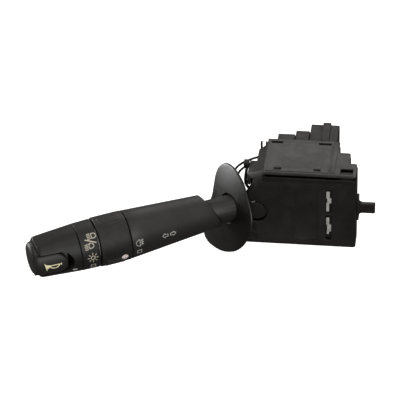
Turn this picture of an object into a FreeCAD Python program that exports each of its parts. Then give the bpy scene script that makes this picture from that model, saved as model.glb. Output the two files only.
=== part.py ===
import FreeCAD, Part
import math
import os

V = FreeCAD.Vector
os.makedirs("parts", exist_ok=True)

# Frame: millimetres. +X towards the steering column, -Y towards the driver, +Z up.
# The origin lies on the housing's flat underside, straight below the lever's pivot. The pieces are drawn
# with the underside at z = -LIFT, and raised by LIFT when they are saved.

# Driving dimensions of the housing
LIFT = 0.8
PIVOT_Z = 19.2
FRONT_Y = -9.5
BACK_Y = 21.7
LEFT_X = -5.0
LEFT_BACK_X, LEFT_STEP_Y = -1.0, 10.4
RIGHT_X = 51.9
STEP1_X, STEP1_Y = 47.8, 3.4
STEP2_X, STEP2_Y = 41.6, 12.2
WALL = 1.8
SHELL_TOP = 41.5
LOW_TOP = 37.4
RIM_OUT = 1.0
SHADOW_BAND = (37.8, 40.2)
RAIL_GAP = 1.4
RAIL_DEPTH = 4.0
COVER_THICK = 1.3
COVER_TOP = SHELL_TOP + RAIL_GAP + COVER_THICK
COVER_LEFT_X = 3.4
CORNER_R = 1.6

# Driving dimensions of the lever, measured along its axis from the pivot
LEVER_SIDE_DEG = 27.0
LEVER_DROP_DEG = 2.1
ROOT_R = 3.5
NECK_R = 7.0
NECK_START = 11.5
NECK_END = 36.0
TUBE_R, TUBE_BORE_R = 4.5, 3.5
TUBE_END = 90.0
HANDLE_CUT = 26.0
HANDLE_CUT_RISE_DEG = 20.8
HANDLE_CUT_TURN_DEG = 11.6
HANDLE_TAPER = 0.0715
HANDLE_LEAN = 0.022
HANDLE_HIGH_DEG = 126.0
HANDLE_WALL = 2.0
HANDLE_END = 71.2
HANDLE_R1 = 12.7
RING_START, RING_END = 71.7, 89.8
RING_R = 13.0
RING_BORE_R = 9.6
BAND_START, BAND_END = 90.4, 99.6
BAND_R0, BAND_R1 = 12.65, 12.4
KNOB_START, KNOB_END = 100.0, 121.8
KNOB_R0, KNOB_R1 = 12.35, 10.7
TIP_END = 125.9
TIP_DOME = 0.8
CARRIER_R = 9.2
CARRIER_START = 60.0

# Driving dimensions of the mechanism
YOKE_HALF_Y = 6.6
YOKE_GAP_Y = 5.0
TRUNNION_R = 2.5
RUNNING = 0.05
CLEAR = 0.3
TAIL_BALL_X = 11.0
TAIL_BALL_R = 2.5
ARM_HEAD_X = 27.0
DETENT_R = 30.0
TURN_PIN_X = 22.0
PULL_DEG = 8.0
DETENT_DEG = 11.0
BOARD_Y, BOARD_THICK = 9.6, 1.6
FINGER_Y = -1.0
FINGER_PIN_X = 46.0
FINGER_TIP_X = 61.4
FINGER_TALL = 5.8
FINGER_THICK = 2.2
LEAD_R = 0.5


# General helpers
def box(x0, y0, z0, x1, y1, z1):
    return Part.makeBox(x1 - x0, y1 - y0, z1 - z0, V(x0, y0, z0))


def rod(start, end, radius):
    run = end - start
    return Part.makeCylinder(radius, run.Length, start, run)


def fuse(shapes):
    whole = shapes[0].multiFuse(shapes[1:]) if len(shapes) > 1 else shapes[0]
    return whole.removeSplitter()


def cut(base, tools):
    return base.cut(tools)


def group(shapes):
    return Part.makeCompound(shapes)


def polygon(points):
    return Part.Face(Part.makePolygon([V(*p) for p in points + points[:1]]))


def prism(points, direction):
    return polygon(points).extrude(V(*direction))


def turned(profile):
    """Solid of revolution about the lever's axis, from (distance, radius) pairs."""
    ring = [(s, 0, r) for s, r in profile]
    return polygon(ring).revolve(V(0, 0, 0), V(1, 0, 0), 360)


def rounded(shape, radius, chosen):
    edges = [e for e in shape.Edges if chosen(e)]
    return shape.makeFillet(radius, edges) if edges else shape


def is_along(edge, direction):
    if not isinstance(edge.Curve, (Part.Line, Part.LineSegment)):
        return False
    first, last = edge.Vertexes[0].Point, edge.Vertexes[-1].Point
    run = last - first
    return run.Length > 0.5 and abs(run.normalize().dot(V(*direction))) > 0.999


def near(value, target, slack=0.01):
    return abs(value - target) < slack


def save(shape, node):
    shape.translate(V(0, 0, LIFT))
    shape.exportStep("parts/" + node + ".step")


# The lever's own axes: along it to the tip, sideways to the driver, and up
side = math.radians(LEVER_SIDE_DEG)
drop = math.radians(LEVER_DROP_DEG)
ALONG = V(-math.cos(side) * math.cos(drop), -math.sin(side) * math.cos(drop), -math.sin(drop))
TO_DRIVER = V(math.sin(side), -math.cos(side), 0)
UPWARD = ALONG.cross(TO_DRIVER)
PIVOT = V(0, 0, PIVOT_Z)
LEVER_FRAME = FreeCAD.Matrix(
    ALONG.x, TO_DRIVER.x, UPWARD.x, PIVOT.x,
    ALONG.y, TO_DRIVER.y, UPWARD.y, PIVOT.y,
    ALONG.z, TO_DRIVER.z, UPWARD.z, PIVOT.z,
    0, 0, 0, 1,
)


def on_lever(shape):
    placed = shape.copy()
    placed.transformShape(LEVER_FRAME, True)
    return placed


# Place and outline of the shield, which the housing's corner has to clear
SHIELD_CENTRE = 15.0
SHIELD_SIDE_DEG = 40.0
SHIELD_RISE_DEG = 14.0
SHIELD_SPHERE = 105.0
SHIELD_CROWN = 2.2
SHIELD_THICK = 1.3
SHIELD_OUTLINE = [
    (-24.1, -28.4), (-21.6, -15.5), (-17.6, -2.3), (-17.6, 2.3), (-18.2, 6.8), (-18.8, 11.2),
    (-17.8, 15.2), (-15.6, 17.8), (-12.3, 20.0), (-6.5, 20.9), (-0.3, 19.9), (6.3, 17.0),
    (14.0, 11.4), (19.3, 5.0), (21.3, -1.0), (20.4, -6.6), (17.1, -13.5),
    (11.3, -19.6), (4.6, -23.8), (-3.2, -27.1), (-12.3, -29.6), (-19.9, -31.0),
]


def shield_axes():
    sideways, rise = math.radians(SHIELD_SIDE_DEG), math.radians(SHIELD_RISE_DEG)
    out = V(-math.cos(sideways) * math.cos(rise), -math.sin(sideways) * math.cos(rise), math.sin(rise))
    across = V(0, 0, 1).cross(out).normalize()
    return PIVOT + ALONG * SHIELD_CENTRE, out, across, out.cross(across)


# Housing
def plan_outline(inset, z):
    """Stepped outline of the housing seen from above, drawn in by a wall's thickness."""
    return [
        (LEFT_X + inset, FRONT_Y + inset, z),
        (RIGHT_X - inset, FRONT_Y + inset, z),
        (RIGHT_X - inset, STEP1_Y - inset, z),
        (STEP1_X - inset, STEP1_Y - inset, z),
        (STEP1_X - inset, STEP2_Y - inset, z),
        (STEP2_X - inset, STEP2_Y - inset, z),
        (STEP2_X - inset, BACK_Y - inset, z),
        (LEFT_BACK_X + inset, BACK_Y - inset, z),
        (LEFT_BACK_X + inset, LEFT_STEP_Y - inset, z),
        (LEFT_X + inset, LEFT_STEP_Y - inset, z),
    ]


PANEL = (20.2, 32.3, 2.9, 34.4)
PANEL_DEPTH = 0.5
SLOT_X = (36.2, 39.3)
SLOTS_Z = ((20.2, 34.6), (3.4, 18.3))
WELL_R, WELL_DEPTH = 6.2, 1.2
CAP_R = 4.7
CAP_GROOVE = 2.2
BOSS_R = 7.2
POCKETS_Z = ((7.2, 8.5), (2.2, 4.7))
POCKET_X = (-2.6, 0.1)
LEVER_DOOR_Y = (-7.7, 9.0)
LEVER_DOOR_Z = (8.0, 34.0)
FINGER_DOOR = (2.9, 16.8)
SHELF_END = 49.0


def housing_shell():
    outer = prism(plan_outline(0, -LIFT), (0, 0, SHELL_TOP + LIFT))
    outer = rounded(
        outer, CORNER_R, lambda e: is_along(e, (0, 0, 1)) and e.CenterOfMass.x > STEP2_X - 0.5)
    outer = rounded(
        outer, 0.35, lambda e: near(e.CenterOfMass.z, -LIFT) and near(e.CenterOfMass.y, FRONT_Y))
    low_left = box(LEFT_X - 1, FRONT_Y - 1, LOW_TOP, COVER_LEFT_X, BACK_Y + 1, SHELL_TOP + 1)
    rim = box(COVER_LEFT_X, FRONT_Y - RIM_OUT, SHELL_TOP - 1.3, RIGHT_X, FRONT_Y + RAIL_DEPTH, SHELL_TOP)
    rim = rounded(
        rim, 0.9, lambda e: is_along(e, (0, 0, 1)) and e.CenterOfMass.x > RIGHT_X - 1
        and e.CenterOfMass.y < FRONT_Y)
    cavity = prism(plan_outline(WALL, WALL), (0, 0, SHELL_TOP))
    back_door = box(LEFT_BACK_X + WALL, BACK_Y - WALL - 0.1, WALL, STEP2_X - WALL, BACK_Y + 1,
        SHELL_TOP + 1)
    boss = rod(V(0, FRONT_Y + WALL - 0.1, PIVOT_Z), V(0, -YOKE_HALF_Y - CLEAR, PIVOT_Z), BOSS_R)
    shelves = []
    for low in (PIVOT_Z + 4.1, PIVOT_Z - 5.3):
        shelves.append(box(41.4, FINGER_Y - 3, low, SHELF_END, STEP1_Y - WALL + 0.1, low + 1.2))
    body = fuse([cut(outer, [cavity, back_door]), cut(rim, [cavity]), boss] + shelves)
    shelf_rim = box(COVER_LEFT_X, FRONT_Y + 0.5, SHELL_TOP - 1.3, RIGHT_X - 1, FRONT_Y + RAIL_DEPTH,
        SHELL_TOP)
    body = fuse([body, shelf_rim])
    tools = [low_left]
    tools.append(rod(V(0, FRONT_Y - 1, PIVOT_Z), V(0, FRONT_Y + WELL_DEPTH, PIVOT_Z), WELL_R))
    groove = rod(V(0, FRONT_Y, PIVOT_Z), V(0, FRONT_Y + CAP_GROOVE, PIVOT_Z), WELL_R)
    tools.append(groove.cut(rod(V(0, FRONT_Y - 1, PIVOT_Z), V(0, 0, PIVOT_Z), CAP_R)))
    tools.append(box(COVER_LEFT_X, FRONT_Y - 1, SHADOW_BAND[0], RIGHT_X - 3, FRONT_Y + 0.5,
        SHADOW_BAND[1]))
    tools.append(rod(V(0, FRONT_Y, PIVOT_Z), V(0, 0, PIVOT_Z), TRUNNION_R + RUNNING))
    tools.append(box(PANEL[0], FRONT_Y - 1, PANEL[2], PANEL[1], FRONT_Y + PANEL_DEPTH, PANEL[3]))
    for low, high in SLOTS_Z:
        tools.append(box(SLOT_X[0], FRONT_Y - 1, low, SLOT_X[1], FRONT_Y + WALL + 0.1, high))
    for low, high in POCKETS_Z:
        tools.append(box(POCKET_X[0], FRONT_Y - 1, low, POCKET_X[1], FRONT_Y + 1.0, high))
    tools.append(box(LEFT_X - 1, LEVER_DOOR_Y[0], LEVER_DOOR_Z[0], LEFT_X + WALL + 0.1, LEVER_DOOR_Y[1],
        LEVER_DOOR_Z[1]))
    tools.append(lever_sweep())
    tools.append(shield_room(LOW_TOP))
    half, tall = FINGER_DOOR
    tools.append(box(RIGHT_X - WALL - 1, FINGER_Y - half, PIVOT_Z - tall / 2, RIGHT_X + 1,
        FINGER_Y + half, PIVOT_Z + tall / 2))
    return cut(body, tools)


def shield_room(top):
    """Chamfer on the housing's corner that clears the shield at the end of its travel."""
    centre, out, across, up = shield_axes()
    block = box(0, -40, -40, 40, 40, 40)
    block.Placement = FreeCAD.Placement(centre - out * SHIELD_THICK, FreeCAD.Rotation(V(1, 0, 0), out))
    block.rotate(PIVOT, V(0, 0, 1), PULL_DEG)
    block.rotate(PIVOT, V(0, 1, 0), DETENT_DEG)
    return block.common(box(LEFT_X - 5, FRONT_Y - 5, WALL, 5, FRONT_Y + 9, top))


def lever_sweep():
    """Room beside the front wall's left end for the lever's root, over its whole travel."""
    return Part.makeCone(ROOT_R + 2.2, ROOT_R + 7.0, 14, PIVOT, V(-0.80, -0.60, 0))


WINDOWS = (
    (9.0, 13.0, -7.2, -4.9), (29.7, 33.2, -7.2, -4.9),
    (5.4, 11.4, 18.7, 20.7), (30.3, 36.9, 18.7, 20.7),
)
NOTCH = (43.4, 49.9, -8.4, -2.9)
RAISED = (3.9, 37.4, -8.2, 17.8)
RAISED_TALL = 0.5
FLANK_STEP_Y = 4.7
CLIP_Y = (17.4, 19.6)
LEAD_ENTRIES = ((10.5, 39.7), (7.0, 39.3))


def housing_cover():
    z = COVER_TOP - COVER_THICK
    outline = [
        (COVER_LEFT_X, FRONT_Y - RIM_OUT, z), (RIGHT_X - 0.4, FRONT_Y - RIM_OUT, z),
        (RIGHT_X - 0.4, STEP1_Y - 1, z), (STEP1_X - 0.3, STEP1_Y - 1, z),
        (STEP1_X - 0.3, STEP2_Y, z), (STEP2_X - 0.3, STEP2_Y, z),
        (STEP2_X - 0.3, BACK_Y + 1, z), (COVER_LEFT_X, BACK_Y + 1, z),
    ]
    plate = prism(outline, (0, 0, COVER_THICK - RAISED_TALL))
    plate = rounded(plate, 1.2, lambda e: is_along(e, (0, 0, 1)) and e.CenterOfMass.x > STEP2_X - 1)
    raised = box(RAISED[0], RAISED[2], z, RAISED[1], RAISED[3], COVER_TOP)
    edge_strip = box(COVER_LEFT_X, FRONT_Y - RIM_OUT + 0.6, z, RIGHT_X - 1.6, FRONT_Y - RIM_OUT + 1.8,
        COVER_TOP)
    right_field = box(RAISED[1] + 0.8, RAISED[2], z, STEP2_X - 1.0, BACK_Y, COVER_TOP)
    skirt_front = box(COVER_LEFT_X, FRONT_Y + RAIL_DEPTH, SHELL_TOP, RIGHT_X - WALL,
        FRONT_Y + RAIL_DEPTH + 1.5, z)
    rest_y = STEP1_Y - 1.2
    skirt_right = box(RIGHT_X - WALL - 0.4, FRONT_Y + RAIL_DEPTH, SHELL_TOP, RIGHT_X - 0.4, rest_y, z)
    skirt_mid = box(STEP1_X - WALL - 0.3, rest_y - 1.0, SHELL_TOP, STEP1_X - 0.3, STEP2_Y - 0.3, z)
    skirt_back = box(STEP2_X - WALL - 0.3, STEP2_Y - 1.8, SHELL_TOP, STEP2_X - 0.3, BACK_Y - WALL, z)
    link1 = box(STEP1_X - 1.8, rest_y - 1.2, SHELL_TOP, RIGHT_X - 0.6, rest_y, z)
    link2 = box(STEP2_X - 1.8, STEP2_Y - 1.8, SHELL_TOP, STEP1_X - 0.4, STEP2_Y - 0.4, z)
    flank_front = prism(
        [(COVER_LEFT_X + 1.4, FRONT_Y, COVER_TOP - 0.5), (COVER_LEFT_X, FRONT_Y, COVER_TOP - 0.5),
         (LEFT_X + 0.2, FRONT_Y, LOW_TOP + 1.2), (LEFT_X + 0.2, FRONT_Y, LOW_TOP),
         (COVER_LEFT_X, FRONT_Y, LOW_TOP), (COVER_LEFT_X, FRONT_Y, SHELL_TOP),
         (COVER_LEFT_X + 1.4, FRONT_Y, SHELL_TOP)],
        (0, FLANK_STEP_Y - FRONT_Y, 0),
    )
    flank_back = prism(
        [(COVER_LEFT_X + 1.4, FLANK_STEP_Y, COVER_TOP - 0.5),
         (COVER_LEFT_X, FLANK_STEP_Y, COVER_TOP - 0.5),
         (LEFT_BACK_X, FLANK_STEP_Y, LOW_TOP + 2.6), (LEFT_BACK_X, FLANK_STEP_Y, LOW_TOP),
         (COVER_LEFT_X, FLANK_STEP_Y, LOW_TOP),
         (COVER_LEFT_X, FLANK_STEP_Y, SHELL_TOP), (COVER_LEFT_X + 1.4, FLANK_STEP_Y, SHELL_TOP)],
        (0, CLIP_Y[0] - 0.1 - FLANK_STEP_Y, 0),
    )
    lid_y = LEFT_STEP_Y - WALL - 0.1
    flank_lid = box(LEFT_X + WALL + 0.1, FLANK_STEP_Y - 1, LOW_TOP - 0.7, LEFT_BACK_X + 0.5, lid_y,
        LOW_TOP + 0.2)
    ribs = []
    for low, high in ((6.4, 8.2), (14.3, 16.1)):
        ribs.append(box(low, -5.2, PIVOT_Z + 8.8, high, 5.3, z))
    guide = box(7.2, -6, PIVOT_Z + 9.5, 15.3, 7, PIVOT_Z + 11.3)
    cover = fuse([
        plate, raised, edge_strip, right_field, skirt_front, skirt_right, skirt_mid, skirt_back,
        link1, link2, flank_front, flank_back, flank_lid,
    ] + [cut(rib, [guide]) for rib in ribs])
    tools = [box(x0, y0, z - 1, x1, y1, COVER_TOP + 1) for x0, x1, y0, y1 in WINDOWS]
    tools.append(box(NOTCH[0], NOTCH[2], z - 0.5, NOTCH[1], NOTCH[3], COVER_TOP + 1))
    tools += [rod(V(-3, y, h), V(2.5, y, h), LEAD_R + 0.5) for y, h in LEAD_ENTRIES]
    tools.append(shield_room(COVER_TOP))
    return cut(cover, tools)


REAR_TOP = SHELL_TOP + RAIL_GAP
CONNECTORS = {
    "small": (7.9, 16.95, 34.8, 29.5),
    "medium": (17.05, 24.4, 32.8, 33.2),
    "large": (24.5, 39.6, 24.8, 40.2),
}
CONNECTOR_TOP = 42.8
SHROUD = 1.2
BLADE_W, BLADE_T = 1.5, 0.6
BLADE_REACH = 0.45
BLADE_COUNTS = {"small": (3, 1), "medium": (2, 2), "large": (4, 3)}


def rear_carrier():
    plate = box(LEFT_BACK_X + WALL, BACK_Y - WALL, WALL, STEP2_X - WALL, BACK_Y, SHELL_TOP)
    top = box(COVER_LEFT_X, BACK_Y - WALL, SHELL_TOP, STEP2_X - WALL, BACK_Y, REAR_TOP)
    plate = fuse([plate, top])
    tools = [box(LEFT_X, BACK_Y - WALL - 1, LOW_TOP, COVER_LEFT_X, BACK_Y + 1, REAR_TOP)]
    tools += [blade for size in CONNECTORS for blade in blade_row(size)]
    return cut(plate, tools)


def connector(size):
    x0, x1, low, end = CONNECTORS[size]
    body = box(x0, BACK_Y, low, x1, end, CONNECTOR_TOP)
    body = rounded(body, 0.7, lambda e: is_along(e, (0, 1, 0)))
    if size == "large":
        middle = (x0 + x1) / 2 + 0.9
        body = fuse([body, box(middle - 2.1, BACK_Y + 1.2, CONNECTOR_TOP - 1, middle + 2.1, end + 0.8,
            CONNECTOR_TOP + 1.0)])
    hollow = box(x0 + SHROUD, BACK_Y + 1.5, low + SHROUD, x1 - SHROUD, end + 5, CONNECTOR_TOP - SHROUD)
    return cut(body, [hollow] + blade_row(size))


def blade_row(size):
    x0, x1, low, end = CONNECTORS[size]
    across, rows = BLADE_COUNTS[size]
    pitch_x = (x1 - x0 - 2 * SHROUD) / across
    pitch_z = (CONNECTOR_TOP - low - 2 * SHROUD) / rows
    blade_end = BACK_Y + BLADE_REACH * (end - BACK_Y)
    blades = []
    for i in range(across):
        for j in range(rows):
            x = x0 + SHROUD + pitch_x * (i + 0.5)
            z = low + SHROUD + pitch_z * (j + 0.5)
            blades.append(box(
                x - BLADE_W / 2, BACK_Y - WALL - 3, z - BLADE_T / 2, x + BLADE_W / 2, blade_end,
                z + BLADE_T / 2,
            ))
    return blades


def contact_board():
    board = box(16.0, BOARD_Y, 2.4, 39.0, BOARD_Y + BOARD_THICK, 37.0)
    ribs = [box(16.0, 5.5, PIVOT_Z - 13, 17.2, BOARD_Y, PIVOT_Z + 13),
        box(26.8, 5.5, PIVOT_Z - 13, 28.0, BOARD_Y, PIVOT_Z + 13)]
    feet = [box(x, BOARD_Y, WALL, x + 3, BOARD_Y + BOARD_THICK, 2.6) for x in (18, 27, 36)]
    ends = [box(16.0, BOARD_Y + BOARD_THICK, 6 + 11 * k, 18.0, BACK_Y - WALL,
        8 + 11 * k) for k in range(3)]
    ends += [box(36.5, BOARD_Y + BOARD_THICK, 6, 38.5, BACK_Y - WALL, 8)]
    return fuse([board] + ribs + feet + ends)


def contact_tracks():
    strips = [box(18.6 + 2.6 * k, BOARD_Y - 0.3, PIVOT_Z - 9, 19.8 + 2.6 * k, BOARD_Y,
        PIVOT_Z + 9) for k in range(3)]
    links = []
    for size in CONNECTORS:
        for blade in blade_row(size):
            b = blade.BoundBox
            if b.ZMin < 36 and b.XMin > 16:
                links.append(box(b.XMin, BOARD_Y + BOARD_THICK, b.ZMin, b.XMax, b.YMin, b.ZMax))
    return group(strips + links)


def pivot_cap():
    cap = rod(V(0, FRONT_Y + WELL_DEPTH, PIVOT_Z), V(0, FRONT_Y + 0.25, PIVOT_Z), CAP_R)
    return rounded(cap, 0.35, lambda e: near(e.CenterOfMass.y, FRONT_Y + 0.25))


def bearing_plate():
    plate = box(LEFT_X + WALL, YOKE_HALF_Y + CLEAR, WALL, 5.5, YOKE_HALF_Y + CLEAR + 1.6, 34)
    foot = box(LEFT_BACK_X + WALL, YOKE_HALF_Y + CLEAR, WALL, 5.5, BACK_Y - WALL, WALL + 1.4)
    web = box(3.6, YOKE_HALF_Y + CLEAR, WALL, 5.5, BACK_Y - WALL, 12)
    bore = rod(V(0, 0, PIVOT_Z), V(0, 12, PIVOT_Z), TRUNNION_R + RUNNING)
    return cut(fuse([plate, foot, web]), [bore])


CAM_Y = (-4.0, 4.0)
CAM_BACK_X = 35.4
DIMPLE_R = 1.7


def detent_cam():
    block = box(24.0, CAM_Y[0], PIVOT_Z - 11, CAM_BACK_X, CAM_Y[1], PIVOT_Z + 11)
    sweep = rod(V(0, -20, PIVOT_Z), V(0, 20, PIVOT_Z), DETENT_R + CLEAR)
    dimples = []
    for k in (-1, 0, 1):
        angle = math.radians(DETENT_DEG * k)
        x = (DETENT_R - 0.9) * math.cos(angle)
        z = PIVOT_Z + (DETENT_R - 0.9) * math.sin(angle)
        dimples.append(rod(V(x, -2.2, z), V(x, 2.2, z), DIMPLE_R + 0.4))
    body = cut(block, [sweep] + dimples)
    foot = box(31.0, CAM_Y[0], WALL, CAM_BACK_X, CAM_Y[1], PIVOT_Z - 11)
    web = box(32.6, FRONT_Y + WALL, PIVOT_Z - 11, CAM_BACK_X, CAM_Y[0], PIVOT_Z + 11)
    leg = box(CAM_BACK_X, FRONT_Y + WALL, PIVOT_Z - 15.4, SLOT_X[1] - 0.3, FRONT_Y + WALL + 2.4,
        PIVOT_Z + 15.2)
    lugs = []
    for low, high in SLOTS_Z:
        jog = low + 0.55 * (high - low)
        lugs.append(box(36.5, FRONT_Y + 0.5, low + 2.2, 38.3, FRONT_Y + WALL, high - 1.2))
        lugs.append(box(37.0, FRONT_Y + 0.5, jog - 2.4, 39.1, FRONT_Y + WALL, jog + 2.6))
    return fuse([body, foot, web, leg] + lugs)


def cable_clip():
    y0, y1 = CLIP_Y
    base = box(0.0, y0, LOW_TOP, 3.3, y1, LOW_TOP + 1.6)
    prongs = [box(-0.3, y0, LOW_TOP, 0.7, y1, COVER_TOP), box(2.4, y0, LOW_TOP, 3.3, y1, COVER_TOP - 0.2)]
    return fuse([base] + prongs)


# Leads: straight runs joined by tangent arcs
LEAD_UPPER = [
    (-12.6, -1.3, 20.9), (-12.3, 1.2, 21.8), (-12.6, 3.0, 24.2), (-13.2, 3.8, 28.2), (-13.3, 3.9, 32.2),
    (-12.3, 4.8, 35.4), (-10.1, 6.2, 37.3), (-7.5, 7.6, 38.3), (-4.6, 9.0, 39.0), (-1.6, 10.4, 39.6),
    (0.4, 10.7, 39.8),
]
LEAD_LOWER = [
    (-11.6, -1.8, 20.2), (-11.1, 0.8, 20.8), (-11.0, 2.3, 22.9), (-11.2, 3.0, 26.4), (-11.3, 3.2, 30.4),
    (-10.5, 3.8, 33.8), (-8.6, 4.4, 36.1), (-6.2, 5.0, 37.3), (-3.9, 5.8, 38.3), (-1.6, 6.7, 39.1),
    (0.4, 7.2, 39.4),
]
LEAD_SHORT = [
    (-6.1, 5.6, 36.6), (-6.4, 4.6, 35.0), (-6.6, 3.4, 33.0), (-6.8, 2.0, 30.8), (-6.2, 0.6, 28.8),
    (-4.4, -0.6, 27.2),
    (-2.2, -1.4, 26.2),
]
SHORT_LEAD_R = 0.5


def lead_path(points):
    corners = [V(*p) for p in points]
    edges = []
    radii = []
    start = corners[0]
    for before, corner, after in zip(corners, corners[1:], corners[2:]):
        run_in, run_out = corner - before, after - corner
        reach = 0.45 * min(run_in.Length, run_out.Length)
        half_turn = run_in.getAngle(run_out) / 2
        first = corner - run_in.normalize() * reach
        last = corner + run_out.normalize() * reach
        radius = reach / math.tan(half_turn)
        radii.append(round(radius, 1))
        inward = (first + last) * 0.5 - corner
        depth = radius / math.cos(half_turn) - radius
        middle = corner + inward.normalize() * depth
        edges.append(Part.LineSegment(start, first).toShape())
        edges.append(Part.Arc(first, middle, last).toShape())
        start = last
    edges.append(Part.LineSegment(start, corners[-1]).toShape())
    print("lead bend radii", radii)
    return Part.Wire(edges)


def lead(points, radius):
    path = lead_path(points)
    first = V(*points[0])
    heading = V(*points[1]) - first
    section = Part.Wire([Part.makeCircle(radius, first, heading)])
    tube = path.makePipeShell([section], True, True)
    tube = Part.Solid(Part.Shell(tube.Faces))
    print("lead volume", round(tube.Volume, 2), "section by length",
        round(math.pi * radius ** 2 * path.Length, 2))
    return tube


def cable_tie():
    block = box(-7.8, 4.3, 36.4, -5.1, 8.6, 39.5)
    block = rounded(block, 0.5, lambda e: is_along(e, (1, 0, 0)))
    return cut(block, [lead(LEAD_UPPER, LEAD_R), lead(LEAD_LOWER, LEAD_R),
        lead(LEAD_SHORT, SHORT_LEAD_R)])


# Gimbal yoke and its arm
def turn_yoke():
    z = PIVOT_Z
    outer = box(-2.8, -YOKE_HALF_Y, z - 6.4, 6.5, YOKE_HALF_Y, z + 6.4)
    outer = rounded(outer, 1.2, lambda e: is_along(e, (1, 0, 0)))
    inner = box(-4, -YOKE_GAP_Y, z - 4.5, 8, YOKE_GAP_Y, z + 4.5)
    pin_room = rod(V(0, 0, z - 9), V(0, 0, z + 9), 1.5)
    trunnions = [
        rod(V(0, -YOKE_HALF_Y + 0.5, z), V(0, FRONT_Y + WELL_DEPTH + 0.1, z), TRUNNION_R),
        rod(V(0, YOKE_HALF_Y - 0.5, z), V(0, YOKE_HALF_Y + 1.7, z), TRUNNION_R),
    ]
    frame = cut(fuse([cut(outer, [inner])] + trunnions), [pin_room])
    riser = box(2.0, -3, z - 12.5, 6.5, 3, z - 5.5)
    bar = box(2.0, -3, z - 12.5, 19.5, 3, z - 9.5)
    column = box(16.0, -3, z - 12.5, 19.5, 3, z + 5)
    head = box(16.0, -4, z - 5, ARM_HEAD_X, 4, z + 5)
    head = rounded(head, 1.0, lambda e: near(e.CenterOfMass.x, ARM_HEAD_X))
    arm = fuse([riser, bar, column, head])
    arm = rounded(arm, 1.5, lambda e: is_along(e, (0, 1, 0)) and near(e.CenterOfMass.z, z - 12.5))
    bore = rod(V(17.2, 0, z), V(ARM_HEAD_X + 1, 0, z), 1.5 + RUNNING)
    drive_pin = rod(V(TURN_PIN_X, 3.5, z), V(TURN_PIN_X, 7.8, z), 1.3)
    root_room = []
    for pull in (0, PULL_DEG / 2, PULL_DEG):
        room = on_lever(rod(V(0, 0, 0), V(9, 0, 0), ROOT_R + CLEAR))
        room.rotate(PIVOT, V(0, 0, 1), pull)
        root_room.append(room)
    return cut(fuse([frame, arm, drive_pin]), [bore] + root_room)


def pull_pins():
    z = PIVOT_Z
    return group([rod(V(0, 0, z + 2.6), V(0, 0, z + 6.4), 1.5),
        rod(V(0, 0, z - 6.4), V(0, 0, z - 2.6), 1.5)])


COIL_STEPS = 8
WIRE_SIDES = 5


def coil(start, end, radius, wire, turns):
    """Helical spring between two points, of five-sided wire mitred in short runs."""
    run = end - start
    count = turns * COIL_STEPS
    rise = (run.Length - wire) / count
    points = []
    for i in range(count + 1):
        angle = 2 * math.pi * i / COIL_STEPS
        points.append(V(radius * math.cos(angle), radius * math.sin(angle), wire / 2 + rise * i))
    heading = (points[1] - points[0]).normalize()
    up = heading.cross(V(1, 0, 0)).normalize()
    outward = up.cross(heading)
    ring = []
    for k in range(WIRE_SIDES):
        angle = 2 * math.pi * k / WIRE_SIDES
        ring.append(points[0] + outward * (wire / 2 * math.cos(angle)) + up * (wire / 2 * math.sin(angle)))
    faces = [Part.Face(Part.makePolygon(ring + ring[:1]))]
    for i in range(1, count + 1):
        heading = (points[i] - points[i - 1]).normalize()
        leaving = (points[i + 1] - points[i]).normalize() if i < count else heading
        mitre = heading + leaving
        following = [p + heading * ((points[i] - p).dot(mitre) / heading.dot(mitre)) for p in ring]
        for k in range(WIRE_SIDES):
            j = (k + 1) % WIRE_SIDES
            corners = [ring[k], ring[j], following[j], following[k], ring[k]]
            faces.append(Part.Face(Part.makePolygon(corners)))
        ring = following
    faces.append(Part.Face(Part.makePolygon(ring + ring[:1])))
    spring = Part.Solid(Part.makeShell(faces))
    spring.rotate(V(0, 0, 0), V(0, 0, 1).cross(run), math.degrees(V(0, 0, 1).getAngle(run)))
    spring.translate(start)
    return spring


def detent_plunger():
    z = PIVOT_Z
    stem = rod(V(22.0, 0, z), V(DETENT_R - 1.5, 0, z), 1.5)
    nose = Part.makeSphere(1.5, V(DETENT_R - 1.5, 0, z))
    return fuse([stem, nose])


def detent_spring():
    return coil(V(17.3, 0, PIVOT_Z), V(21.9, 0, PIVOT_Z), 1.05, 0.35, 4)


def turn_carrier():
    z = PIVOT_Z
    plate = box(17.5, 5.0, z - 6.5, 26.5, 8.0, z + 6.5)
    plate = rounded(plate, 0.8, lambda e: is_along(e, (0, 1, 0)))
    slot = box(TURN_PIN_X - 2.2, 4, z - 1.65, TURN_PIN_X + 2.0, 9, z + 1.65)
    return cut(plate, [slot])


def turn_contacts():
    z = PIVOT_Z
    leaves = []
    for k in range(3):
        x = 18.7 + 2.6 * k
        leaf = [
            (x, 8.0, z - 5.4), (x, 8.0, z - 3.2), (x, 8.5, z - 2.6), (x, 9.0, z - 3.6), (x, 8.9, z - 5.2)]
        leaves.append(prism(leaf, (1.0, 0, 0)))
    return group(leaves)


def beam_carrier():
    z = PIVOT_Z
    gap = TAIL_BALL_R + 0.35
    cheeks = [box(8.5, -gap - 1.5, z - 5, 14.0, -gap, z + 9.8),
        box(8.5, gap, z - 5, 14.0, gap + 1.5, z + 9.8)]
    bridge = box(7.5, -gap - 1.5, z + 9.8, 15.0, gap + 1.5, z + 11.0)
    neck = box(8.5, -gap - 1.5, z + 8.2, 14.0, gap + 1.5, z + 9.9)
    tongue = box(9.4, gap + 1.4, z + 8.2, 13.1, 7.0, z + 10.4)
    return fuse(cheeks + [bridge, neck, tongue])


def beam_contacts():
    z = PIVOT_Z
    leaf = [(9.8, 7.0, z + 8.6), (9.8, 7.0, z + 10.0), (9.8, 7.5, z + 9.6), (9.8, 7.5, z + 9.0)]
    return group([prism(leaf, (1.0, 0, 0)), prism([(x + 1.9, y, h) for x, y, h in leaf], (1.0, 0, 0))])


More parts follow.
